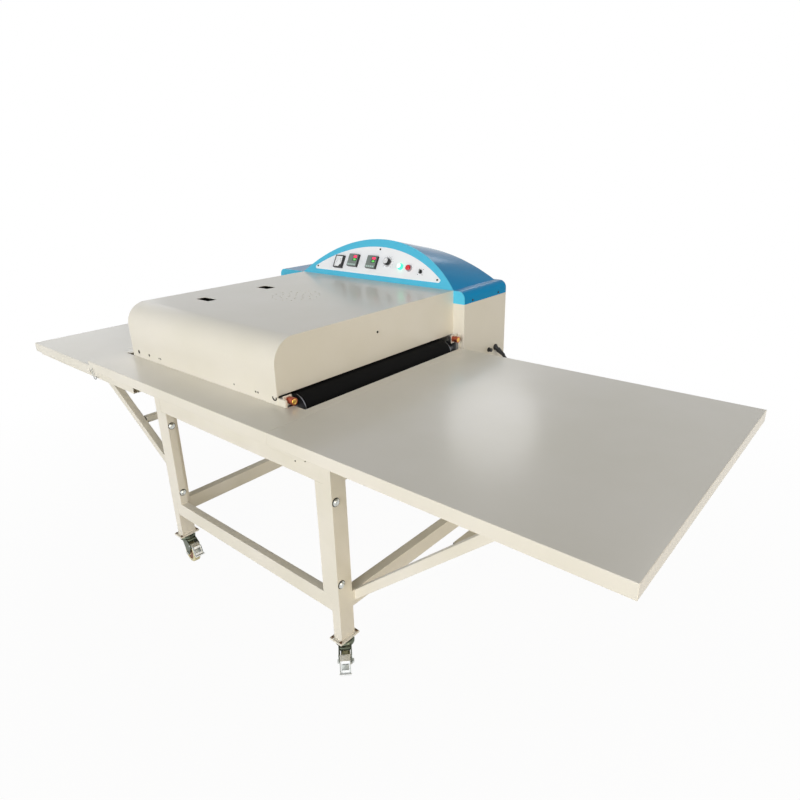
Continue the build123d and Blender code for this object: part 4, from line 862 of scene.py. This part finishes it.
# A dark half ring: a painted shadow under the screw head in the outlet notch.
bpy.ops.object.select_all(action="DESELECT")
bpy.ops.mesh.primitive_torus_add(
    major_radius=0.0078, minor_radius=0.0019, major_segments=36, minor_segments=10
)
screw_shadow_arc = bpy.context.object
screw_shadow_arc.name = "screw_shadow_arc"
bpy.ops.object.mode_set(mode="EDIT")
bpy.ops.mesh.select_all(action="SELECT")
bpy.ops.mesh.bisect(plane_co=(0, 0.0015, 0), plane_no=(0, 1, 0), use_fill=True, clear_outer=True)
bpy.ops.object.mode_set(mode="OBJECT")
bpy.ops.object.shade_smooth()
fit(screw_shadow_arc, browned_steel_and_painted_shade, "press", Matrix.Translation(SCREW_SHADOW_PLACE) @ FACE_FRONT)

flange_rivet = turned("flange_rivet", [(0.0, 0.0022), (0.0006, 0.0020), (0.0009, 0.0012)], 20)
fit(flange_rivet, browned_steel_and_painted_shade, "press", Matrix.Translation(RIVET_PLACE) @ FACE_FRONT)

# The control box: folded sheet behind the head, in the same coat, and sharp at its edges too.
wear(orange_peel, "control_box")

# The hood: pressed sheet in stoved enamel, glossy. Its front faces are sprayed sky blue, and its
# roof, ends and back deep blue; the line between them runs along the front edge. The low IOR keeps
# the white studio's mirror image from washing out the blue.
HOOD_FRONT = 0.3355
HOOD_FOOT = 0.9072
HOOD_LEAN = radians(28)
SPRAY_EDGE = 0.0018

blue_enamel, blue_out = new_finish("blue_stove_enamel")
blue_at = add_node(blue_enamel, "ShaderNodeTexCoord")
blue_parts = add_node(blue_enamel, "ShaderNodeSeparateXYZ", None, {0: blue_at.outputs["Object"]})
blue_rise = add_node(
    blue_enamel, "ShaderNodeMath", {1: HOOD_FOOT}, {0: blue_parts.outputs["Z"]}, operation="SUBTRACT"
)
blue_above = add_node(
    blue_enamel, "ShaderNodeMath", {1: 0.0}, {0: blue_rise.outputs[0]}, operation="MAXIMUM"
)
blue_lean = add_node(
    blue_enamel,
    "ShaderNodeMath",
    {1: sin(HOOD_LEAN) / cos(HOOD_LEAN), 2: HOOD_FRONT + SPRAY_EDGE},
    {0: blue_above.outputs[0]},
    operation="MULTIPLY_ADD",
)
blue_front = add_node(
    blue_enamel,
    "ShaderNodeMath",
    None,
    {0: blue_parts.outputs["Y"], 1: blue_lean.outputs[0]},
    operation="LESS_THAN",
)
blue_cloud = add_node(
    blue_enamel, "ShaderNodeTexNoise", {"Scale": 4.0, "Detail": 3.0}, {"Vector": blue_at.outputs["Object"]}
)
blue_deep = add_node(blue_enamel, "ShaderNodeValToRGB", None, {"Fac": blue_cloud.outputs["Fac"]})
blue_deep.color_ramp.elements[0].color = colour("#058FCE")
blue_deep.color_ramp.elements[1].color = colour("#0A99D8")
blue_tint = add_node(
    blue_enamel,
    "ShaderNodeMix",
    {7: colour("#5CC8EA")},
    {0: blue_front.outputs[0], 6: blue_deep.outputs["Color"]},
    data_type="RGBA",
)
blue_peel = add_node(
    blue_enamel, "ShaderNodeTexNoise", {"Scale": 350.0, "Detail": 2.0}, {"Vector": blue_at.outputs["Object"]}
)
blue_bump = add_node(
    blue_enamel,
    "ShaderNodeBump",
    {"Strength": 0.06, "Distance": 0.0003},
    {"Height": blue_peel.outputs["Fac"]},
)
blue_skin = add_node(
    blue_enamel,
    "ShaderNodeBsdfPrincipled",
    {"Roughness": 0.16, "IOR": 1.14},
    {"Base Color": blue_tint.outputs[2], "Normal": blue_bump.outputs["Normal"]},
)
blue_enamel.node_tree.links.new(blue_skin.outputs[0], blue_out.inputs["Surface"])
wear(blue_enamel, "hood")

# The control panel: a white enamelled plate under the arch.
white_enamel, white_out = new_finish("white_enamel")
white_at = add_node(white_enamel, "ShaderNodeTexCoord")
white_grain = add_node(
    white_enamel,
    "ShaderNodeTexNoise",
    {"Scale": 300.0, "Detail": 2.0},
    {"Vector": white_at.outputs["Object"]},
)
white_bump = add_node(
    white_enamel,
    "ShaderNodeBump",
    {"Strength": 0.06, "Distance": 0.0003},
    {"Height": white_grain.outputs["Fac"]},
)
white_skin = add_node(
    white_enamel,
    "ShaderNodeBsdfPrincipled",
    {"Base Color": colour("#FAFCFF"), "Roughness": 0.35},
    {"Normal": white_bump.outputs["Normal"]},
)
white_enamel.node_tree.links.new(white_skin.outputs[0], white_out.inputs["Surface"])
wear(white_enamel, "control_panel")

# The instruments stand on the panel, which leans back by 28 degrees. Lengths on it run along its
# middle line, up its slope and out of its face.
PANEL_MIDDLE = -0.237
PANEL_TURN = Matrix.Rotation(pi / 2 - HOOD_LEAN, 4, "X")
PANEL = Matrix.Translation((PANEL_MIDDLE, HOOD_FRONT, HOOD_FOOT)) @ PANEL_TURN
PANEL_FACE = 0.0015


def moulded(name, code, rough, grain, glow=0.0):
    """A moulded plastic or print: its colour, a fine grain, and light from inside where it is lit."""
    finish, out = new_finish(name)
    at = add_node(finish, "ShaderNodeTexCoord")
    fine = add_node(
        finish, "ShaderNodeTexNoise", {"Scale": 900.0, "Detail": 2.0}, {"Vector": at.outputs["Object"]}
    )
    bump = add_node(
        finish, "ShaderNodeBump", {"Strength": grain, "Distance": 0.0002}, {"Height": fine.outputs["Fac"]}
    )
    skin = add_node(
        finish,
        "ShaderNodeBsdfPrincipled",
        {
            "Base Color": colour(code),
            "Roughness": rough,
            "Emission Color": colour(code),
            "Emission Strength": glow,
        },
        {"Normal": bump.outputs["Normal"]},
    )
    finish.node_tree.links.new(skin.outputs[0], out.inputs["Surface"])
    return finish


def on_panel(along, up, out=PANEL_FACE):
    """A place on the panel, in metres."""
    return PANEL @ Matrix.Translation((along, up, out))


def sink(piece, rim, depth):
    """Insets the widest upward face and pushes it in."""
    faces = piece.data.polygons
    top = max(faces, key=lambda face: face.area * face.normal.z * (face.center.z + 1)).index
    bpy.ops.object.select_all(action="DESELECT")
    piece.select_set(True)
    bpy.context.view_layer.objects.active = piece
    bpy.ops.object.mode_set(mode="EDIT")
    bpy.ops.mesh.select_mode(type="FACE")
    bpy.ops.mesh.select_all(action="DESELECT")
    bpy.ops.object.mode_set(mode="OBJECT")
    faces[top].select = True
    bpy.ops.object.mode_set(mode="EDIT")
    bpy.ops.mesh.inset(thickness=rim, depth=0)
    bpy.ops.mesh.extrude_region_move(TRANSFORM_OT_translate={"value": (0, 0, -depth)})
    bpy.ops.object.mode_set(mode="OBJECT")


# Black moulded cases, nearly matt; white printed card; dark print; and the plated screws.
black_moulding = moulded("black_abs", "#161618", 0.38, 0.15)
white_card = moulded("white_card", "#F4F6F8", 0.5, 0.05)
dark_print = moulded("dark_print", "#3A3D42", 0.6, 0.05)
wear(black_moulding, "ammeter", "temperature_controllers", "selector_switch", "fuse_holder", "speed_knob")
wear(bright_zinc, "button_bezels")
wear(browned_steel_and_painted_shade, "sheet_screws")

# The ammeter: a square moving-iron meter with a black frame, a white scale card, a black cover
# over its movement at the lower right, and a fine needle.
METER = (-0.198, 0.0594)
METER_OUT = 0.0112
NEEDLE_FOOT = (METER[0] + 0.0175, METER[1] - 0.0205)
meter_frame = block("meter_frame", (0.047, 0.053, 0.0026), 0.0008)
sink(meter_frame, 0.0036, 0.0014)
fit(meter_frame, black_moulding, "press", on_panel(*METER, METER_OUT))
meter_card = block("meter_card", (0.0385, 0.0445, 0.0006), 0.0002)
fit(meter_card, white_card, "press", on_panel(*METER, METER_OUT + 0.0010))
quadrant = turned("meter_quadrant", [(0.0, 0.0105), (0.0007, 0.0105), (0.0009, 0.0100)], 40)
bpy.ops.object.mode_set(mode="EDIT")
bpy.ops.mesh.select_all(action="SELECT")
bpy.ops.mesh.bisect(plane_co=(0, 0, 0), plane_no=(1, 0, 0), use_fill=True, clear_outer=True)
bpy.ops.mesh.select_all(action="SELECT")
bpy.ops.mesh.bisect(plane_co=(0, 0, 0), plane_no=(0, -1, 0), use_fill=True, clear_outer=True)
bpy.ops.object.mode_set(mode="OBJECT")
quadrant_place = on_panel(METER[0] + 0.0188, METER[1] - 0.0218, METER_OUT + 0.0014)
fit(quadrant, black_moulding, "press", quadrant_place)
needle = block("meter_needle", (0.0007, 0.0300, 0.0004), 0.0001)
needle_turn = Matrix.Rotation(radians(14), 4, "Z") @ Matrix.Translation((0, 0.0180, 0))
needle_place = on_panel(*NEEDLE_FOOT, METER_OUT + 0.0018) @ needle_turn
fit(needle, dark_print, "press", needle_place)
tick = block("scale_tick", (0.0008, 0.0040, 0.0003), 0.0001)
for step in range(7):
    lean = Matrix.Rotation(radians(4 + 13.5 * step), 4, "Z") @ Matrix.Translation((0, 0.0330, 0))
    tick_place = on_panel(*NEEDLE_FOOT, METER_OUT + 0.0016) @ lean
    fit(again(tick, f"meter_tick_{step}"), dark_print, "press", tick_place)

# The temperature controllers: black cases behind grey-green fronts, each with a red number over a
# green one at the right and a row of four pale keys at the foot.
CONTROLLERS = {"left": (-0.1183, 0.0704), "right": (-0.0150, 0.0704)}
CONTROLLER_OUT = 0.0131
front_green = moulded("grey_green_front", "#727D78", 0.4, 0.1)
pale_keys = moulded("pale_keys", "#B4CBC4", 0.45, 0.1)
red_light = moulded("red_segments", "#FF3565", 0.4, 0.0, 1.1)
green_light = moulded("green_segments", "#58C94E", 0.4, 0.0, 0.9)
smoked_pane = moulded("smoked_pane", "#3D4A46", 0.2, 0.0)


def number_sign(name, words, height):
    """A number of raised segments, centred on the XY plane."""
    bpy.ops.object.select_all(action="DESELECT")
    bpy.ops.object.text_add()
    sign = bpy.context.object
    sign.data.body = words
    sign.data.size = height
    sign.data.extrude = 0.0002
    sign.data.resolution_u = 3
    sign.data.align_x = "CENTER"
    sign.data.align_y = "CENTER"
    sign.data.offset = 0.0004
    bpy.ops.object.convert(target="MESH")
    piece = bpy.context.object
    piece.name = name
    return piece


front_plate = block("controller_front", (0.0512, 0.0512, 0.0016), 0.0006)
key = block("controller_key", (0.0088, 0.0062, 0.0009), 0.0003)
pane = block("controller_pane", (0.0235, 0.0250, 0.0006), 0.0003)
for side, (along, up) in CONTROLLERS.items():
    top = CONTROLLER_OUT + 0.0015
    fit(again(front_plate, "controller_front_" + side), front_green, "press",
        on_panel(along, up, CONTROLLER_OUT))
    fit(again(pane, "controller_pane_" + side), smoked_pane, "press",
        on_panel(along + 0.0105, up + 0.0080, top))
    fit(number_sign("controller_red_" + side, "180", 0.0135), red_light, "press",
        on_panel(along + 0.0108, up + 0.0135, top + 0.0008))
    fit(number_sign("controller_green_" + side, "180", 0.0100), green_light, "press",
        on_panel(along + 0.0108, up + 0.0015, top + 0.0008))
    for step in range(4):
        fit(again(key, f"controller_key_{side}_{step}"), pale_keys, "press",
            on_panel(along - 0.0168 + 0.0112 * step, up - 0.0190, top - 0.0002))

# The speed knob: black with a bright spun cap, on a bright skirt with dark ticks. The panel has
# a ring of short ticks round it.
KNOB = (0.0635, 0.0790)
MARK_REACH = 0.0062
SKIRT_REACH = 0.0180
DIAL_REACH = 0.0245
spun_cap = metal_finish("spun_cap", "#D9DADB", 0.15, 0.3, 80.0)
knob_skirt = turned("knob_skirt", [(0.0, 0.0207), (0.0022, 0.0209), (0.0034, 0.0198), (0.0040, 0.0160)], 48)
fit(knob_skirt, spun_cap, "speed_knob", on_panel(*KNOB, 0.0016))
knob_cap = turned("knob_cap", [(0.0, 0.0118), (0.0006, 0.0122), (0.0010, 0.0114), (0.0008, 0.0095)], 40)
fit(knob_cap, spun_cap, "speed_knob", on_panel(*KNOB, 0.0204))
knob_mark = block("knob_mark", (0.0016, 0.0085, 0.0004), 0.00015)
mark_place = on_panel(*KNOB, 0.0211) @ Matrix.Translation((0, MARK_REACH, 0))
fit(knob_mark, white_card, "speed_knob", mark_place)
for step in range(11):
    lean = Matrix.Rotation(radians(135 - 27 * step), 4, "Z")
    skirt_tick = again(tick, f"skirt_tick_{step}")
    skirt_place = on_panel(*KNOB, 0.0052) @ lean @ Matrix.Translation((0, SKIRT_REACH, 0))
    fit(skirt_tick, dark_print, "speed_knob", skirt_place)
    dial_tick = again(tick, f"dial_tick_{step}")
    dial_place = on_panel(*KNOB) @ lean @ Matrix.Translation((0, DIAL_REACH, 0))
    fit(dial_tick, dark_print, "press", dial_place)
bpy.data.objects.remove(tick)

# The push buttons: domed caps of clear green plastic, lit from inside, and of red plastic, each
# in a round bezel.
button_places = {"green": (0.1335, 0.0655), "red": (0.1777, 0.0629)}
green_lens = moulded("lit_green_lens", "#4FF0B8", 0.18, 0.0, 0.75)
green_heart = moulded("lamp_heart", "#D8FFF2", 0.2, 0.0, 1.0)
red_cap = moulded("red_cap", "#CF1F2C", 0.22, 0.0)
red_spot = moulded("red_dome", "#E0222F", 0.2, 0.0)
wear(green_lens, "green_button")
wear(red_cap, "red_button")
dome_rings = [(0.0, 0.0084), (0.0008, 0.0084), (0.0020, 0.0074), (0.0028, 0.0052), (0.0032, 0.0010)]
for tone, finish, share in (("green", green_heart, 1.0), ("red", red_spot, 1.25)):
    dome = turned(tone + "_dome", [(rise, wide * share) for rise, wide in dome_rings], 32)
    fit(dome, finish, tone + "_button", on_panel(*button_places[tone], 0.0142))
grey_ring = moulded("grey_ring", "#A9A6AC", 0.35, 0.05)
button_ring = turned("button_ring", [(0.0, 0.0128), (0.0040, 0.0128), (0.0046, 0.0122), (0.0046, 0.0088)], 40)
for tone, finish in (("green", green_lens), ("red", grey_ring)):
    fit(again(button_ring, tone + "_ring"), finish, "press", on_panel(*button_places[tone]))
bpy.data.objects.remove(button_ring)

# The selector switch: a black lever with a bright top strip, and four dots on the panel for its
# places.
SELECTOR = (0.2355, 0.0541)
lever_strip = block("lever_strip", (0.0026, 0.0120, 0.0006), 0.0002)
fit(lever_strip, bright_zinc, "selector", on_panel(*SELECTOR, 0.0126))
dot = turned("place_dot", [(0.0, 0.0016), (0.0002, 0.0016), (0.0003, 0.0013)], 16)
for step in range(4):
    lean = Matrix.Rotation(radians(45 + 90 * step), 4, "Z") @ Matrix.Translation((0, 0.0150, 0))
    fit(again(dot, f"place_dot_{step}"), dark_print, "press", on_panel(*SELECTOR) @ lean)
for pattern in (front_plate, key, pane, dot):
    bpy.data.objects.remove(pattern)
